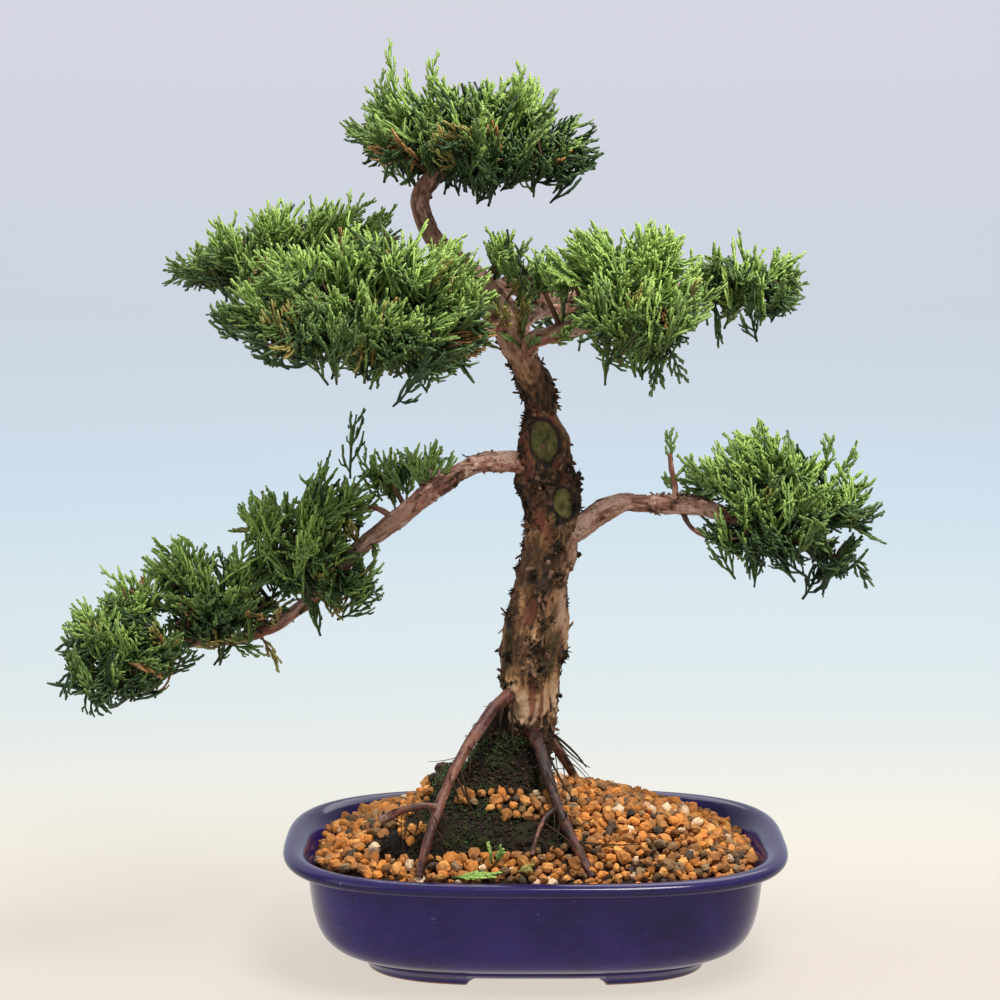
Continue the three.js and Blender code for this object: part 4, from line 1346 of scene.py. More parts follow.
# %% Crumbs on the knots
def make_crumbs(crumbs_per_mm):
    """Dark mossy crumbs on each knot, so many for each mm of its size. A crumb is a short knobbly
    tube that stands on the bark at a normally distributed distance from the knot's middle.
    """
    rng = np.random.default_rng(502)
    surface, outward, _, _ = limb_surfaces["trunk"]
    ring_height = centre[:, 2]
    foot, away = [], []
    for degrees, level, size, _ in KNOTS:
        count = int(size * crumbs_per_mm)
        row = np.searchsorted(ring_height, level + rng.normal(0, 0.55 * size, count))
        off = rng.normal(0, 0.55 * size, count) / radius[row, 0]
        column = ((math.radians(degrees) + off) / (2 * math.pi) * TRUNK_COLUMNS).astype(int)
        foot.append(surface[row, column % TRUNK_COLUMNS])
        away.append(outward[row, column % TRUNK_COLUMNS])
    foot, away = np.concatenate(foot), np.concatenate(away)
    direction = unit(away + rng.normal(0, 0.6, foot.shape))
    length = rng.uniform(0.5, 1.9, len(foot))
    thickness = 0.18 + 0.5 * rng.beta(1.3, 2.6, len(foot))
    bend = rng.normal(0, 0.35, foot.shape)
    tone = np.clip(rng.normal(0.2, 0.14, len(foot)), 0.04, 0.6)
    growth = (foot - away * 0.4, direction, length, bend, thickness, tone)
    points, faces, uv = join([strewn(growth, (0.8, 1.1, 0.5), 5, rng, age=(0.5, 0.98))])
    make_piece("trunk_crumbs", points, faces, FLAKES, uv=uv)


make_crumbs(crumbs_per_mm=15)

# %% [markdown]
# ## Foliage
#
# Juniper foliage is cords: blunt shoots about a millimetre thick, covered in tiny scales, that
# branch again and again in flat fans. Sunlit tips are short, dense and yellow green, and shoots
# under a pad are long, sparse and blue green. Here their colour is partly painted light and shade:
# a spray's tone is paler the higher and more outward it sits. A particle system could copy one fan
# about, but the copies would show, so each spray is grown on its own, all of them at once as
# arrays: an axis, its side shoots, and stubs on those. A cord is a four-sided tube whose rings are
# turned against each other, which reads as scales.

# %% Grow sprays
UP = np.array([0, 0, 1.0])
SHOOT_RADIUS = 0.6
AXIS_SHAPE = (0.9, 1.06, 0.94, 1.06, 0.94, 0.74)
SIDE_SHAPE = (0.9, 1.06, 0.98, 0.74)
STUB_SHAPE = (0.95, 1.02, 0.72)


def branch_off(parent, normal, number, spread, reach, rng):
    """number side shoots on each parent shoot, left and right in the plane across its normal.

    A child starts at a share s of the parent, leaves it at an angle whose tangent is about
    spread, is (1 - 0.45 s) * reach times as long, and bends towards the parent's tip.
    """
    start, direction, length, bend, tone = parent
    count = len(start)
    s = (np.arange(number) + 0.9 + rng.uniform(-0.3, 0.3, (count, number))) / (number + 0.9)
    share = s[..., None]
    reach_mm = length[:, None, None]
    base = start[:, None] + reach_mm * (direction[:, None] * share + bend[:, None] * share**2)
    tangent = unit(direction[:, None] + 2 * bend[:, None] * share)
    hand = np.where(np.arange(number) % 2, 1.0, -1.0)[None, :, None]
    plane = np.cross(normal, direction)[:, None] * hand * spread
    way = tangent + plane * rng.uniform(0.7, 1.3, (count, number, 1))
    way = unit(way + rng.normal(0, 0.15, (count, number, 3)))
    child_length = length[:, None] * reach * (1 - 0.45 * s) * rng.uniform(0.7, 1.25, s.shape)
    curve = (tangent - way) * 0.5 + bend[:, None] * 0.25
    tones = tone[:, None] + rng.normal(0, 0.02, s.shape)
    child = [base.reshape(-1, 3), way.reshape(-1, 3), child_length.ravel(),
             curve.reshape(-1, 3), tones.ravel()]
    return child, np.repeat(normal, number, axis=0)


def grow_sprays(sprays, rng, side_number, stub_number):
    """The tubes of many sprays. sprays is start, direction, length, bend and tone as arrays."""
    normal = unit(np.cross(sprays[1], rng.normal(size=sprays[1].shape)))
    sides, side_normal = branch_off(sprays, normal, side_number, 0.85, 0.66, rng)
    stubs, _ = branch_off(sides, side_normal, stub_number, 0.8, 0.44, rng)
    parts = []
    for shoots, shape, corners, thick, age in (
        (sprays, AXIS_SHAPE, 4, 1.05, (0.02, 0.8)),
        (sides, SIDE_SHAPE, 4, 0.97, (0.25, 0.97)),
        (stubs, STUB_SHAPE, 3, 0.92, (0.5, 0.98)),
    ):
        start, direction, length, bend, tone = shoots
        radius = SHOOT_RADIUS * thick * rng.uniform(0.88, 1.1, len(start))
        parts.append(tubes(start, direction, length, bend, radius, tone,
                           rng.normal(size=start.shape), shape, corners,
                           twist=math.pi / corners, age=age))
    return parts


# %% Leaf material
def leaf_material():
    """Colour from the map alone: u is the place along the shoot, and the shoot is darker towards
    its foot, deep in the pad, partly older growth and partly painted shade. v is how sunlit it is,
    so it paints light and shade. The lowest values of v are dry shoots, and the next ones are
    yellowing.
    """
    material, tree, shader = start_material("juniper leaf", 0.46, 0.4)
    age, tone = map_values(tree)
    shade = ramp(tree, age, [
        (0.0, (0.008, 0.016, 0.006)), (0.5, (0.019, 0.048, 0.017)), (1.0, (0.043, 0.098, 0.026)),
    ])
    light = ramp(tree, age, [
        (0.0, (0.055, 0.09, 0.021)), (0.4, (0.22, 0.36, 0.078)), (0.8, (0.33, 0.495, 0.108)),
        (1.0, (0.395, 0.555, 0.13)),
    ])
    colour = mix(tree, ramp(tree, tone, [(0.25, grey(0)), (0.88, grey(1))]), shade, light)
    yellowing = ramp(tree, age, [(0.0, (0.17, 0.10, 0.03)), (1.0, (0.33, 0.32, 0.08))])
    colour = mix(tree, ramp(tree, tone, [(0.16, grey(1)), (0.2, grey(0))]), colour, yellowing)
    dry = ramp(tree, age, [(0.0, (0.14, 0.06, 0.025)), (1.0, (0.42, 0.22, 0.07))])
    colour = mix(tree, ramp(tree, tone, [(0.08, grey(1)), (0.1, grey(0))]), colour, dry)
    tree.links.new(colour, shader.inputs["Base Color"])
    return material


LEAF = leaf_material()

# %% [markdown]
# ## Pads of foliage
#
# The grower has pruned the branches into pads. A pad is a cloud of tufts, and the tufts of one
# pad run into each other, so a spray isn't aimed from the middle of its tuft: its tip is put on
# the tuft's surface, it points outwards, upwards and away from the trunk, and its foot falls
# wherever its length takes it.

# %% Tufts of every pad
# A tuft is x, y, height, half width, half height.
PADS = {
    "foliage_crown": [
        (-67, 0, 290, 14, 10), (-55, 6, 300, 16, 11), (-32, -4, 303, 19, 12),
        (-10, 8, 301, 18, 12), (8, -4, 290, 15, 11), (-58, -14, 289, 14, 9),
        (-28, -22, 290, 18, 10), (2, -18, 284, 16, 9), (-42, 24, 288, 18, 10),
        (-10, 26, 286, 17, 10), (-12, -2, 284, 17, 9), (-44, -6, 289, 17, 10),
        (-20, -22, 281, 14, 7), (12, -14, 281, 12, 7),
    ],
    "foliage_left_front": [
        (-112, -50, 224, 15, 11), (-91, -44, 237, 18, 13), (-66, -42, 242, 20, 13),
        (-42, -44, 238, 19, 14), (-93, -62, 216, 20, 11), (-66, -66, 216, 22, 13),
        (-40, -60, 214, 20, 13), (-60, -28, 222, 20, 11), (-78, -56, 227, 19, 12),
        (-30, -50, 226, 15, 12),
    ],
    "foliage_left_back": [
        (-142, 38, 236, 15, 10), (-123, 32, 245, 17, 12), (-100, 36, 252, 19, 13),
        (-77, 36, 250, 18, 13), (-127, 52, 233, 17, 10), (-98, 56, 236, 19, 11),
        (-104, 20, 233, 19, 10),
    ],
    "foliage_right_front": [
        (14, -34, 240, 13, 13), (26, -28, 242, 14, 13), (43, -34, 243, 17, 13),
        (29, -46, 222, 16, 12), (49, -44, 223, 18, 13), (43, -36, 212, 16, 8),
        (58, -26, 231, 12, 11), (36, -40, 231, 16, 12),
    ],
    "foliage_right_back": [
        (83, 20, 236, 14, 11), (99, 24, 234, 14, 9), (81, 28, 228, 14, 8), (96, 14, 227, 13, 8),
        (70, 18, 230, 11, 8), (88, 18, 230, 13, 9),
    ],
    "foliage_rear": [
        (20, 48, 226, 16, 10), (36, 56, 224, 14, 9), (8, 60, 223, 14, 9), (24, 66, 219, 14, 8),
    ],
    "foliage_low_right": [
        (73, -18, 153, 14, 11), (90, -10, 160, 17, 13), (106, -16, 152, 15, 12),
        (124, -18, 142, 14, 13), (84, -26, 135, 17, 14), (104, -26, 133, 16, 13),
        (122, -18, 122, 11, 10), (94, -20, 147, 17, 12), (113, -20, 140, 14, 12),
    ],
    "foliage_low_left_tip": [
        (-182, -26, 89, 14, 13), (-165, -22, 103, 14, 13), (-180, -34, 74, 15, 11),
        (-163, -34, 79, 15, 13), (-168, -28, 91, 14, 12), (-150, -28, 87, 13, 11),
    ],
    "foliage_low_left_middle": [
        (-145, -20, 116, 14, 13), (-129, -26, 104, 15, 13), (-116, -18, 116, 13, 12),
        (-136, -24, 96, 13, 10), (-114, -24, 103, 13, 11), (-143, -24, 103, 11, 9),
    ],
    "foliage_low_left_upper": [
        (-109, -18, 136, 13, 11), (-95, -22, 128, 18, 15), (-83, -12, 143, 16, 13),
        (-80, -20, 113, 16, 12), (-88, -20, 124, 14, 12), (-100, -22, 117, 13, 11),
    ],
    "foliage_low_left_inner": [(-63, 6, 153, 12, 8), (-48, 8, 157, 10, 7)],
    "foliage_centre": [(-13, -20, 245, 9, 8), (-1, -30, 238, 10, 7)],
}


# %% Make the pads
# A tuft of the usual half width and half height has this many sprays on it and below it.
USUAL_HALF_WIDTH, USUAL_HALF_HEIGHT = 17, 12
SPRAYS_UP = 25
SPRAYS_LOW = 11
TUFTS_IN_PIECE = 6
USUAL_TONE, YELLOWING_TONE, DRY_TONE = 0.23, 0.13, 0.05
# How much paler or darker than usual the sprays of some pads are: painted light and shade, set pad
# by pad.
PAD_PAINTED_LIGHT = {
    "foliage_crown": -0.13, "foliage_right_front": 0.16, "foliage_low_left_tip": -0.08,
    "foliage_low_left_middle": -0.06, "foliage_low_right": -0.05,
}


def green_tones(tone, exposure, rng):
    """Tones kept within the green part of the map, but for a few yellowing and dry sprays,
    which are more often low in the pad.
    """
    tone = np.clip(tone, 0.27, 0.93)
    chance = rng.uniform(size=len(tone)) / (1.25 - exposure)
    tone = np.where(chance < 0.03, YELLOWING_TONE, tone)
    return np.where(chance < 0.008, DRY_TONE, tone)


def tuft_sprays(tuft, pad_middle, pad_low, pad_high, pad_tone, rng, low):
    """The sprays of one tuft: their tips lie on its oval, and their feet are a length behind.

    The direction adds the oval's own outward direction, upwards and away from the pad's
    middle. Low sprays sit under the tuft, point sideways and down, and turn up at the tip.
    """
    size = (tuft[3] / USUAL_HALF_WIDTH) ** 2 * (tuft[4] / USUAL_HALF_HEIGHT) + 0.12
    count = int((SPRAYS_LOW if low else SPRAYS_UP) * size)
    middle = np.array(tuft[:3], dtype=float)
    half = np.array([tuft[3], tuft[3], tuft[4]], dtype=float)
    rise = rng.uniform(-0.95, -0.1, count) if low else rng.uniform(-0.5, 1, count)
    heading = rng.uniform(0, 2 * math.pi, count)
    level = np.sqrt(1 - rise**2)
    ball = np.stack([level * np.cos(heading), level * np.sin(heading), rise], axis=-1)
    tip = middle + ball * half * rng.uniform(0.7, 1.12, (count, 1))
    away = np.clip((middle - pad_middle) / 40, -1, 1) * (1, 1, 0)
    lift = rng.uniform(-0.5, 0.05, (count, 1)) if low else rng.uniform(0.0, 0.65, (count, 1))
    direction = unit(unit(ball / half) * 0.75 + UP * lift + away * 0.85
                     + rng.normal(0, 0.24, (count, 3)))
    bend = UP * (0.3 if low else 0.16) + rng.normal(0, 0.13, (count, 3))
    length = rng.uniform(13, 23, count) * math.sqrt(tuft[3] / USUAL_HALF_WIDTH)
    start = tip - length[:, None] * (direction + bend)
    # The tone is painted light and shade: sprays high in the pad and on top of the tuft are paler,
    # and low ones darker.
    exposure = np.clip((tip[:, 2] - pad_low) / (pad_high - pad_low), 0, 1)
    tone = pad_tone + 0.6 * exposure + 0.2 * rise + rng.normal(0, 0.11, count)
    return [start, direction, length, bend, green_tones(tone, exposure, rng)]


def gather(groups):
    """Several lists of sprays as one."""
    return [np.concatenate(column) for column in zip(*groups)]


def make_pad(name, tufts, seed):
    """Grows a pad in as many pieces as its tufts need, at most TUFTS_IN_PIECE tufts in each."""
    rng = np.random.default_rng(seed)
    pad_middle = np.mean([tuft[:3] for tuft in tufts], axis=0)
    pad_low = min(z - tall for _, _, z, _, tall in tufts)
    pad_high = max(z + tall for _, _, z, _, tall in tufts)
    pad_tone = USUAL_TONE + PAD_PAINTED_LIGHT.get(name, 0)
    pad = (pad_middle, pad_low, pad_high, pad_tone)
    for number, first in enumerate(range(0, len(tufts), TUFTS_IN_PIECE), start=1):
        some = tufts[first:first + TUFTS_IN_PIECE]
        upper, lower = (
            gather([tuft_sprays(tuft, *pad, rng, low) for tuft in some]) for low in (False, True)
        )
        points, faces, uv = join(grow_sprays(upper, rng, 8, 2) + grow_sprays(lower, rng, 5, 1))
        make_piece(f"{name}_sprays_{number}", points, faces, LEAF,
                   replaces=[name], uv=uv)


for number, (pad_name, pad_tufts) in enumerate(PADS.items()):
    make_pad(pad_name, pad_tufts, 300 + number * 3)

# %% [markdown]
# ## Single sprays
#
# Outside the pads a few sprays stand alone: tall tips on the crown, strands that hang below the
# pads, and green and yellowing shoots on the bare part of the branches.

# %% Sprays placed one by one
# A spray is its foot, its direction, its length and its tone, which paints light and shade: high
# for sunlit tips, low for strands under the pads, and 0.13 for a yellowing spray.
SINGLE_SPRAYS = [
    ((-57, 0, 303), (-0.1, 0, 1), 18, 0.8), ((-42, -2, 303), (0.0, 0, 1), 17, 0.8),
    ((-60, 2, 300), (-0.3, 0, 1), 14, 0.75), ((-8, -8, 302), (0.1, 0, 1), 14, 0.8),
    ((-27, -8, 283), (0.2, 0.1, -1), 17, 0.35), ((-33, -6, 284), (-0.2, 0, -1), 12, 0.3),
    ((-45, -8, 281), (-0.7, 0, -1), 14, 0.35), ((-62, -56, 212), (0.0, -0.1, -1), 17, 0.4),
    ((-42, -58, 210), (0.1, -0.1, -1), 16, 0.4), ((-34, -56, 210), (0.5, -0.1, -1), 15, 0.35),
    ((46, -42, 208), (0.1, -0.1, -1), 16, 0.4), ((52, -40, 208), (0.5, 0, -1), 15, 0.4),
    ((75, 20, 222), (0.05, 0, -1), 17, 0.35), ((86, -24, 128), (0.1, 0, -1), 14, 0.35),
    ((128, -20, 122), (0.5, 0, -0.8), 14, 0.35), ((126, -18, 136), (0.8, 0, -0.7), 16, 0.4),
    ((122, -16, 152), (0.6, 0, 0.9), 14, 0.75), ((118, -14, 156), (0.1, 0, 1), 13, 0.7),
    ((-76, -12, 152), (-0.02, 0, 1), 24, 0.4), ((-90, -20, 142), (0.3, 0, 1), 17, 0.5),
    ((-46, -14, 147), (-0.5, 0, 1), 15, 0.6), ((-44, -14, 147), (0.0, 0, 1), 17, 0.6),
    ((-42, -14, 148), (0.6, 0, 1), 14, 0.55), ((-52, -14, 146), (-0.9, 0, 0.8), 16, 0.5),
    ((-112, -22, 88), (0.4, -0.1, -0.7), 13, 0.13), ((-126, -24, 86), (0.8, 0, -0.3), 13, 0.6),
    ((55, -18, 160), (-0.1, 0, 1), 11, 0.6), ((55, -18, 152), (0.7, 0, 0.6), 8, 0.6),
    ((56, -17, 148), (-0.5, 0, 0.8), 7, 0.55), ((77, -21, 127), (0.6, 0, -0.7), 8, 0.13),
]
# Shoots on bare wood: the branch, the stretch of it from 0 to 1, and how many.
BARE_WOOD = [
    ("trunk", 0.66, 0.76, 26), ("branch_right_front", 0.1, 0.75, 26),
    ("branch_right_back", 0.05, 0.6, 26), ("branch_left_front", 0.1, 0.5, 10),
    ("branch_left_back", 0.2, 0.6, 8),
    ("branch_low_left", 0.42, 0.98, 26), ("branch_low_right", 0.72, 0.98, 8),
]


def single_sprays(rng):
    """The sprays placed one by one, as arrays, with a bend upwards."""
    start, direction, length, tone = (np.array(column, dtype=float)
                                      for column in zip(*SINGLE_SPRAYS))
    bend = UP * 0.12 + rng.normal(0, 0.06, start.shape)
    return [start, unit(direction), length, bend, tone]


def bare_wood_sprays(rng):
    """Shoots that stand out of the branches' upper side, about half of them yellowing."""
    groups = []
    for limb, low, high, count in BARE_WOOD:
        points, outward, lengthwise, _ = limb_surfaces[limb]
        row = rng.integers(int(low * len(points)), int(high * len(points)), count)
        column = rng.integers(0, points.shape[1], count)
        away = outward[row, column]
        direction = unit(away * (1, 1, 0.5) + UP * 0.65 + lengthwise[row] * 0.5
                         + rng.normal(0, 0.25, (count, 3)))
        tone = rng.uniform(size=count)
        tone = np.where(tone < 0.5, YELLOWING_TONE, rng.uniform(0.35, 0.75, count))
        length = rng.uniform(9, 19, count)
        bend = UP * 0.08 + rng.normal(0, 0.12, (count, 3))
        groups.append([points[row, column], direction, length, bend, tone])
    return gather(groups)


sparse_rng = np.random.default_rng(400)
points, faces, uv = join(grow_sprays(single_sprays(sparse_rng), sparse_rng, 6, 2)
                         + grow_sprays(bare_wood_sprays(sparse_rng), sparse_rng, 5, 1))
make_piece("single_sprays", points, faces, LEAF, uv=uv)

# %% [markdown]
# ## Fine twigs
#
# Inside every pad brown twigs run from the branch to the foliage. Each tuft gets one from the
# nearest point of the nearest branch, and a few thinner ones fork from its end.


# %% Make the fine twigs
FORKS = 4
TWIG_RADIUS, FORK_RADIUS = 1.25, 0.6
LEADER_SHARE = 0.94  # the stretch of the trunk above this share of its length bears twigs


def fine_twigs(rng):
    """Tubes from the nearest branch point to each tuft, and a few forks in each tuft."""
    leader = smooth_path(TRUNK, 200)
    wood = [smooth_path(path, 60)[:, :3] for path in BRANCHES.values()]
    wood = np.concatenate([*wood, leader[int(LEADER_SHARE * len(leader)):, :3]])
    tufts = np.array([tuft for pad in PADS.values() for tuft in pad], dtype=float)
    goal = tufts[:, :3] - UP * tufts[:, 4:] * 0.35
    gaps = np.linalg.norm(goal[:, None] - wood[None], axis=-1)
    foot = wood[gaps.argmin(axis=1)]
    span = gaps.min(axis=1)
    bend = rng.normal(0, 0.14, goal.shape)
    along = (goal - foot) / span[:, None] - bend
    tone = rng.normal(0.58, 0.08, len(goal))
    shape = (1.1, 1.0, 0.92, 0.85, 0.75, 0.66, 0.55)
    growth = (foot, along, span, bend, np.full(len(goal), TWIG_RADIUS), tone)
    twigs = strewn(growth, shape, 6, rng, age=(0.5, 0.98))
    fork = np.repeat(goal, FORKS, axis=0)
    way = unit(rng.normal(size=fork.shape) + UP * 0.5)
    reach = np.repeat(tufts[:, 3], FORKS) * rng.uniform(0.35, 0.65, len(fork))
    growth = (fork, way, reach, rng.normal(0, 0.18, fork.shape),
              np.full(len(fork), FORK_RADIUS), rng.normal(0.58, 0.1, len(fork)))
    return join([twigs, strewn(growth, (1.0, 0.9, 0.8, 0.6), 5, rng, age=(0.5, 0.98))])


points, faces, uv = fine_twigs(np.random.default_rng(410))
make_piece("fine_twigs", points, faces, FLAKES, uv=uv)

# %% [markdown]
# ## Hair roots, moss and fallen sprigs
#
# Around the foot of the trunk, hair roots hang between the thick ones, crumbs of soil lie on the
# clod, and moss grows on it. All are short tubes. Hair roots start on the roots and on the trunk's
# foot and droop; moss blades stand on the clod's surface in patches. A few sprigs have fallen on
# the gravel.

# %% Make the ground growth
# Thin roots that stand out: foot, direction, length and tone.
THIN_ROOTS = [
    ((15, -53, 11), (1, -0.05, -0.22), 20, 0.4), ((14, -52, 11), (1, -0.3, -0.3), 12, 0.3),
    ((6, 0, 44), (0.8, -0.2, -1), 26, 0.3), ((8, 2, 42), (1, 0.1, -0.8), 24, 0.25),
    ((6, -18, 36), (0.5, -0.3, -1), 24, 0.35), ((-34, -37, 33), (0.22, -0.1, -1), 22, 0.4),
    ((-33, -36, 34), (0.5, -0.1, -1), 20, 0.45), ((-31, -34, 36), (0.35, -0.3, -1), 17, 0.3),
    ((-52, -53, 22), (0.05, -0.1, -1), 12, 0.4), ((-47, -52, 22), (-0.1, -0.1, -1), 10, 0.35),
    ((4, -44, 18), (-0.5, -0.4, -1), 13, 0.4), ((-12, -11, 58), (0.5, -0.3, -1), 12, 0.25),
    ((-10, -11, 57), (0.1, -0.3, -1), 14, 0.25), ((2, 8, 34), (-0.4, 1, -0.8), 20, 0.3),
]
THIN_ROOT_RADIUS = 0.55
BLADE_RADIUS = 0.24


def hair_roots(rng):
    """Thin tubes that leave the roots and the trunk's foot sideways and then sink."""
    groups = []
    for limb, low, high, count in (
        ("trunk", 0.02, 0.12, 60), ("root_left", 0.1, 0.85, 46), ("root_right", 0.1, 0.85, 46),
        ("root_left_side", 0.1, 0.95, 22), ("root_right_side", 0.1, 0.9, 14),
        ("root_rear", 0.1, 0.9, 22),
    ):
        points, outward, lengthwise, _ = limb_surfaces[limb]
        row = rng.integers(int(low * len(points)), int(high * len(points)), count)
        column = rng.integers(0, points.shape[1], count)
        away = outward[row, column]
        direction = unit(away * 0.6 + lengthwise[row] * rng.normal(0, 0.9, (count, 1)) - UP * 0.2)
        length = rng.uniform(3, 10, count)
        bend = -UP * rng.uniform(0.4, 1.3, (count, 1)) + rng.normal(0, 0.45, (count, 3))
        groups.append([points[row, column] - away * 0.4, direction, length, bend,
                       rng.uniform(0.1, 0.5, count)])
    start, direction, length, tone = (np.array(column, float) for column in zip(*THIN_ROOTS))
    groups.append([start, unit(direction), length, rng.normal(0, 0.16, start.shape), tone])
    return gather(groups)


def clod_places(count, rng):
    """Places on the clod's skin and on the bare lump beside it, with their outward directions."""
    row = rng.integers(8, MOUND_ROWS - 14, count)
    column = rng.integers(0, MOUND_COLUMNS, count)
    x, y = (rng.normal(middle, 5.5, count // 8) for middle in (LUMP_X, LUMP_Y - 7))
    lump = np.stack([x, y, heap_height(x, y) - 1.2], axis=-1)
    foot = np.concatenate([mound_points[row, column], lump])
    away = np.concatenate([unit(outward_of_mound[row, column]), 0 * lump + UP])
    return foot, away


def soil_crumbs(count, rng):
    """Crumbs of soil on the clod: very short tubes, about as thick as they are long."""
    foot, away = clod_places(count, rng)
    direction = unit(away + rng.normal(0, 0.8, foot.shape))
    length = rng.uniform(0.5, 1.6, len(foot))
    tone = np.clip(rng.normal(0.2, 0.16, len(foot)), 0.03, 0.7)
    return foot, direction, length, 0 * foot, length * rng.uniform(0.3, 0.6, len(foot)), tone


def moss_blades(count, rng):
    """Short blades on the clod, where a slow noise is high."""
    foot, away = clod_places(count * 3, rng)
    damp = noise(foot, 13, 35, 2) + rng.normal(0, 0.1, len(foot)) > 0.0
    chosen = rng.permutation(np.flatnonzero(damp))[:count]
    foot, away = foot[chosen], away[chosen]
    direction = unit(away + UP * 0.5 + rng.normal(0, 0.45, foot.shape))
    length = rng.uniform(0.9, 2.6, len(foot))
    bend = rng.normal(0, 0.2, foot.shape)
    tone = rng.uniform(0.22, 0.42, len(foot))
    return foot, direction, length, bend, np.full(len(foot), BLADE_RADIUS), tone


def make_strewn(name, growth, shape, sides, rng, material, age=(0.6, 0.98)):
    """One piece of many short tubes. growth is as in strewn()."""
    points, faces, uv = join([strewn(growth, shape, sides, rng, age)])
    make_piece(name, points, faces, material, uv=uv)


SOIL_CRUMBS, MOSS_BLADES = 4200, 4200
ground_rng = np.random.default_rng(420)
start, direction, length, bend, tone = hair_roots(ground_rng)
thickness = ground_rng.uniform(0.14, 0.36, len(start))
thickness[-len(THIN_ROOTS):] = THIN_ROOT_RADIUS
make_strewn("hair_roots", (start, direction, length, bend, thickness, tone),
            (1.0, 0.95, 0.9, 0.8, 0.65, 0.4), 4, ground_rng, FLAKES)
make_strewn("soil_crumbs", soil_crumbs(SOIL_CRUMBS, ground_rng), (0.7, 1.0, 0.6), 4, ground_rng,
            FLAKES)
make_strewn("moss_blades", moss_blades(MOSS_BLADES, ground_rng), (1.0, 0.9, 0.4), 3, ground_rng,
            LEAF, age=(0.05, 0.7))

FALLEN = [
    ((-34, -68, 1), (1, -0.1, 0.12), 16, 0.95), ((-18, -63, 3), (-0.15, -0.1, 1), 8, 0.7),
    ((-16, -62, 4), (0.35, -0.1, 1), 6, 0.7), ((-8, -67, 3), (1, 0.2, 0.3), 6, 0.13),
]
start, direction, length, tone = (np.array(column, dtype=float) for column in zip(*FALLEN))
start[:, 2] = heap_height(start[:, 0], start[:, 1]) + 1.6
fallen = [start, unit(direction), length, 0 * start, tone]
points, faces, uv = join(grow_sprays(fallen, ground_rng, 7, 2))
make_piece("fallen_sprigs", points, faces, LEAF, uv=uv)

# %% [markdown]
# ## Floor and light
#
# The tree stands on a plain pale sweep: a floor that curves up into a wall, so there is no
# horizon line. It goes from a warm white at the pot to a cool blue and then lavender up the
# wall. Large soft lights stand for a studio, and the picture is shown without a film curve, so
# that pale stays pale.


# %% Studio sweep
WAY_SCALE = 0.35  # turns metres of way into the ramp's 0 to 1
SWEEP_LIT = 0.14  # share of the colour that the lamps and shadows act on
SWEEP_GLOW = 0.763
FLOOR_FRONT, FLOOR_END, SWEEP_BEND, WALL_TOP, SWEEP_HALF = -2600, 1300, 700, 3200, 3200


def sweep_material():
    """Colour by the way along the strip in metres, partly lit and partly glowing evenly."""
    material, tree, shader = start_material("pale sweep", 0.95, 0.1)
    way = put(tree, "Math", {0: mark(tree, "way"), 1: WAY_SCALE}, operation="MULTIPLY").outputs[0]
    colour = ramp(tree, way, [
        (0.0, (0.865, 0.785, 0.70)), (0.06, (0.94, 0.89, 0.79)), (0.18, (0.77, 0.85, 0.865)),
        (0.5, (0.68, 0.825, 0.93)), (0.62, (0.685, 0.75, 0.835)), (0.75, (0.76, 0.765, 0.86)),
    ])
    lit = mix(tree, 1.0, colour, grey(SWEEP_LIT), "MULTIPLY")
    tree.links.new(lit, shader.inputs["Base Color"])
    tree.links.new(colour, shader.inputs["Emission Color"])
    shader.inputs["Emission Strength"].default_value = SWEEP_GLOW
    return material


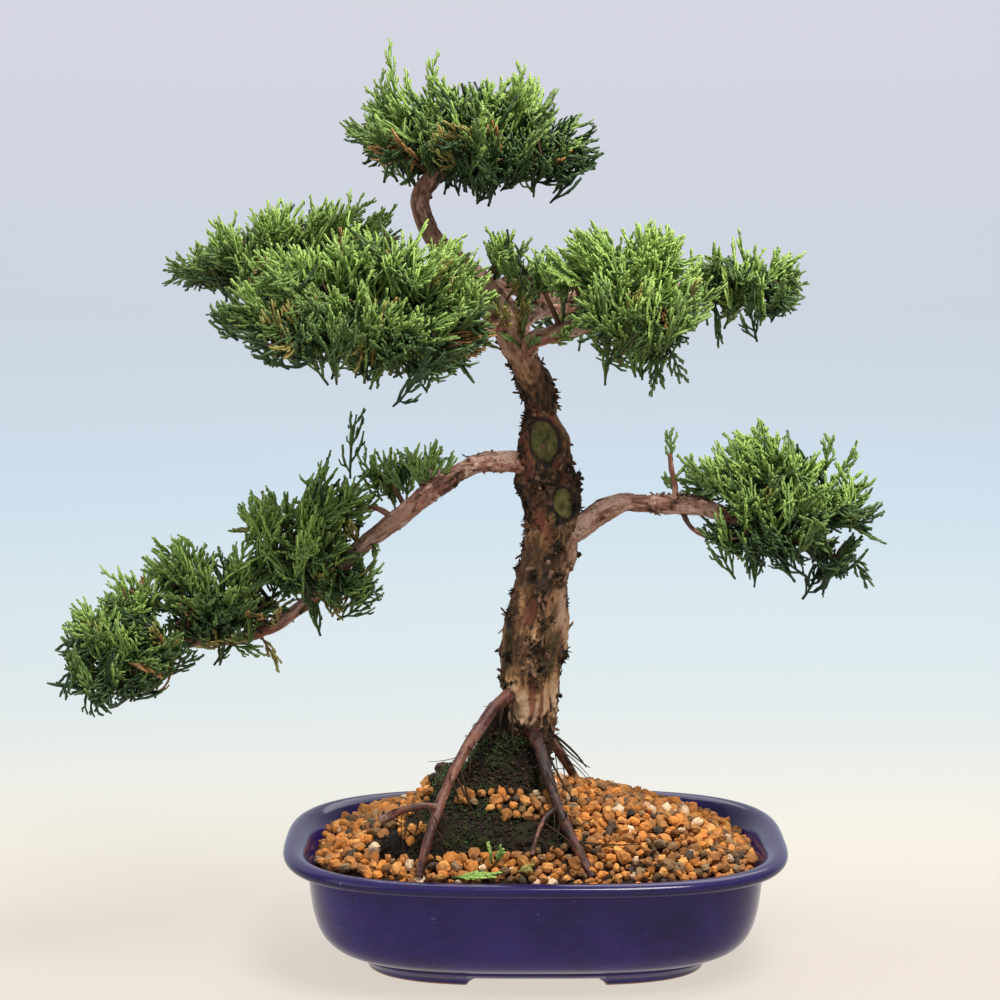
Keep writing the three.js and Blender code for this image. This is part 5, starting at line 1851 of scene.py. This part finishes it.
def make_sweep():
    """A floor, a quarter turn and a wall, as one strip carried from side to side."""
    floor = np.linspace(FLOOR_FRONT, FLOOR_END, 30)
    quarter = np.linspace(0, math.pi / 2, 24)[1:]
    wall = np.linspace(SWEEP_BEND, WALL_TOP, 12)[1:]
    y = np.concatenate([floor, FLOOR_END + SWEEP_BEND * np.sin(quarter), wall * 0])
    y[len(floor) + len(quarter):] = FLOOR_END + SWEEP_BEND
    z = np.concatenate([floor * 0, SWEEP_BEND * (1 - np.cos(quarter)), wall])
    way = np.concatenate([[0], np.cumsum(np.hypot(np.diff(y), np.diff(z)))]) + FLOOR_FRONT
    left, right = (np.stack([0 * y + side, y, z + TABLE], axis=-1)
                   for side in (-SWEEP_HALF, SWEEP_HALF))
    points = (np.concatenate([left, right]) + RIM_ORIGIN) * MM
    row = np.arange(len(y) - 1)
    faces = np.stack([row, row + len(y), row + len(y) + 1, row + 1], axis=-1)
    mesh = bpy.data.meshes.new("sweep")
    mesh.from_pydata(points.tolist(), [], faces.tolist())
    mesh.polygons.foreach_set("use_smooth", np.ones(len(faces), dtype=bool))
    attribute = mesh.attributes.new("way", "FLOAT", "POINT")
    attribute.data.foreach_set("value", np.tile(way * MM, 2).astype(np.float32))
    mesh.materials.append(sweep_material())
    sweep = bpy.data.objects.new("sweep", mesh)
    bpy.context.collection.objects.link(sweep)


make_sweep()


# %% Lights
def soft_light(name, place_mm, aim_mm, size, power, colour=(1, 1, 1)):
    """A square soft light that faces its aim."""
    data = bpy.data.lights.new(name, "AREA")
    data.size = size
    data.energy = power
    data.color = colour
    light = bpy.data.objects.new(name, data)
    place = (RIM_ORIGIN + place_mm) * MM
    aim = (RIM_ORIGIN + aim_mm) * MM
    light.location = place
    towards = Vector(aim - place)
    light.rotation_euler = towards.to_track_quat("-Z", "Y").to_euler()
    bpy.context.collection.objects.link(light)


soft_light("key", (380, -560, 1450), (0, 0, 120), size=0.6, power=32, colour=(1, 0.97, 0.92))
soft_light("left fill", (-1200, -700, 600), (0, 0, 120), size=1.0, power=5,
           colour=(0.92, 0.96, 1))
soft_light("back rim", (200, 1000, 1200), (0, 0, 160), size=1.0, power=8)

SKY_COLOUR = (0.86, 0.92, 1.0, 1)
SKY_STRENGTH = 0.4

world = bpy.data.worlds.new("studio air")
world.use_nodes = True
sky = world.node_tree.nodes["Background"]
sky.inputs["Color"].default_value = SKY_COLOUR
sky.inputs["Strength"].default_value = SKY_STRENGTH
bpy.context.scene.world = world
bpy.context.scene.view_settings.view_transform = "Standard"
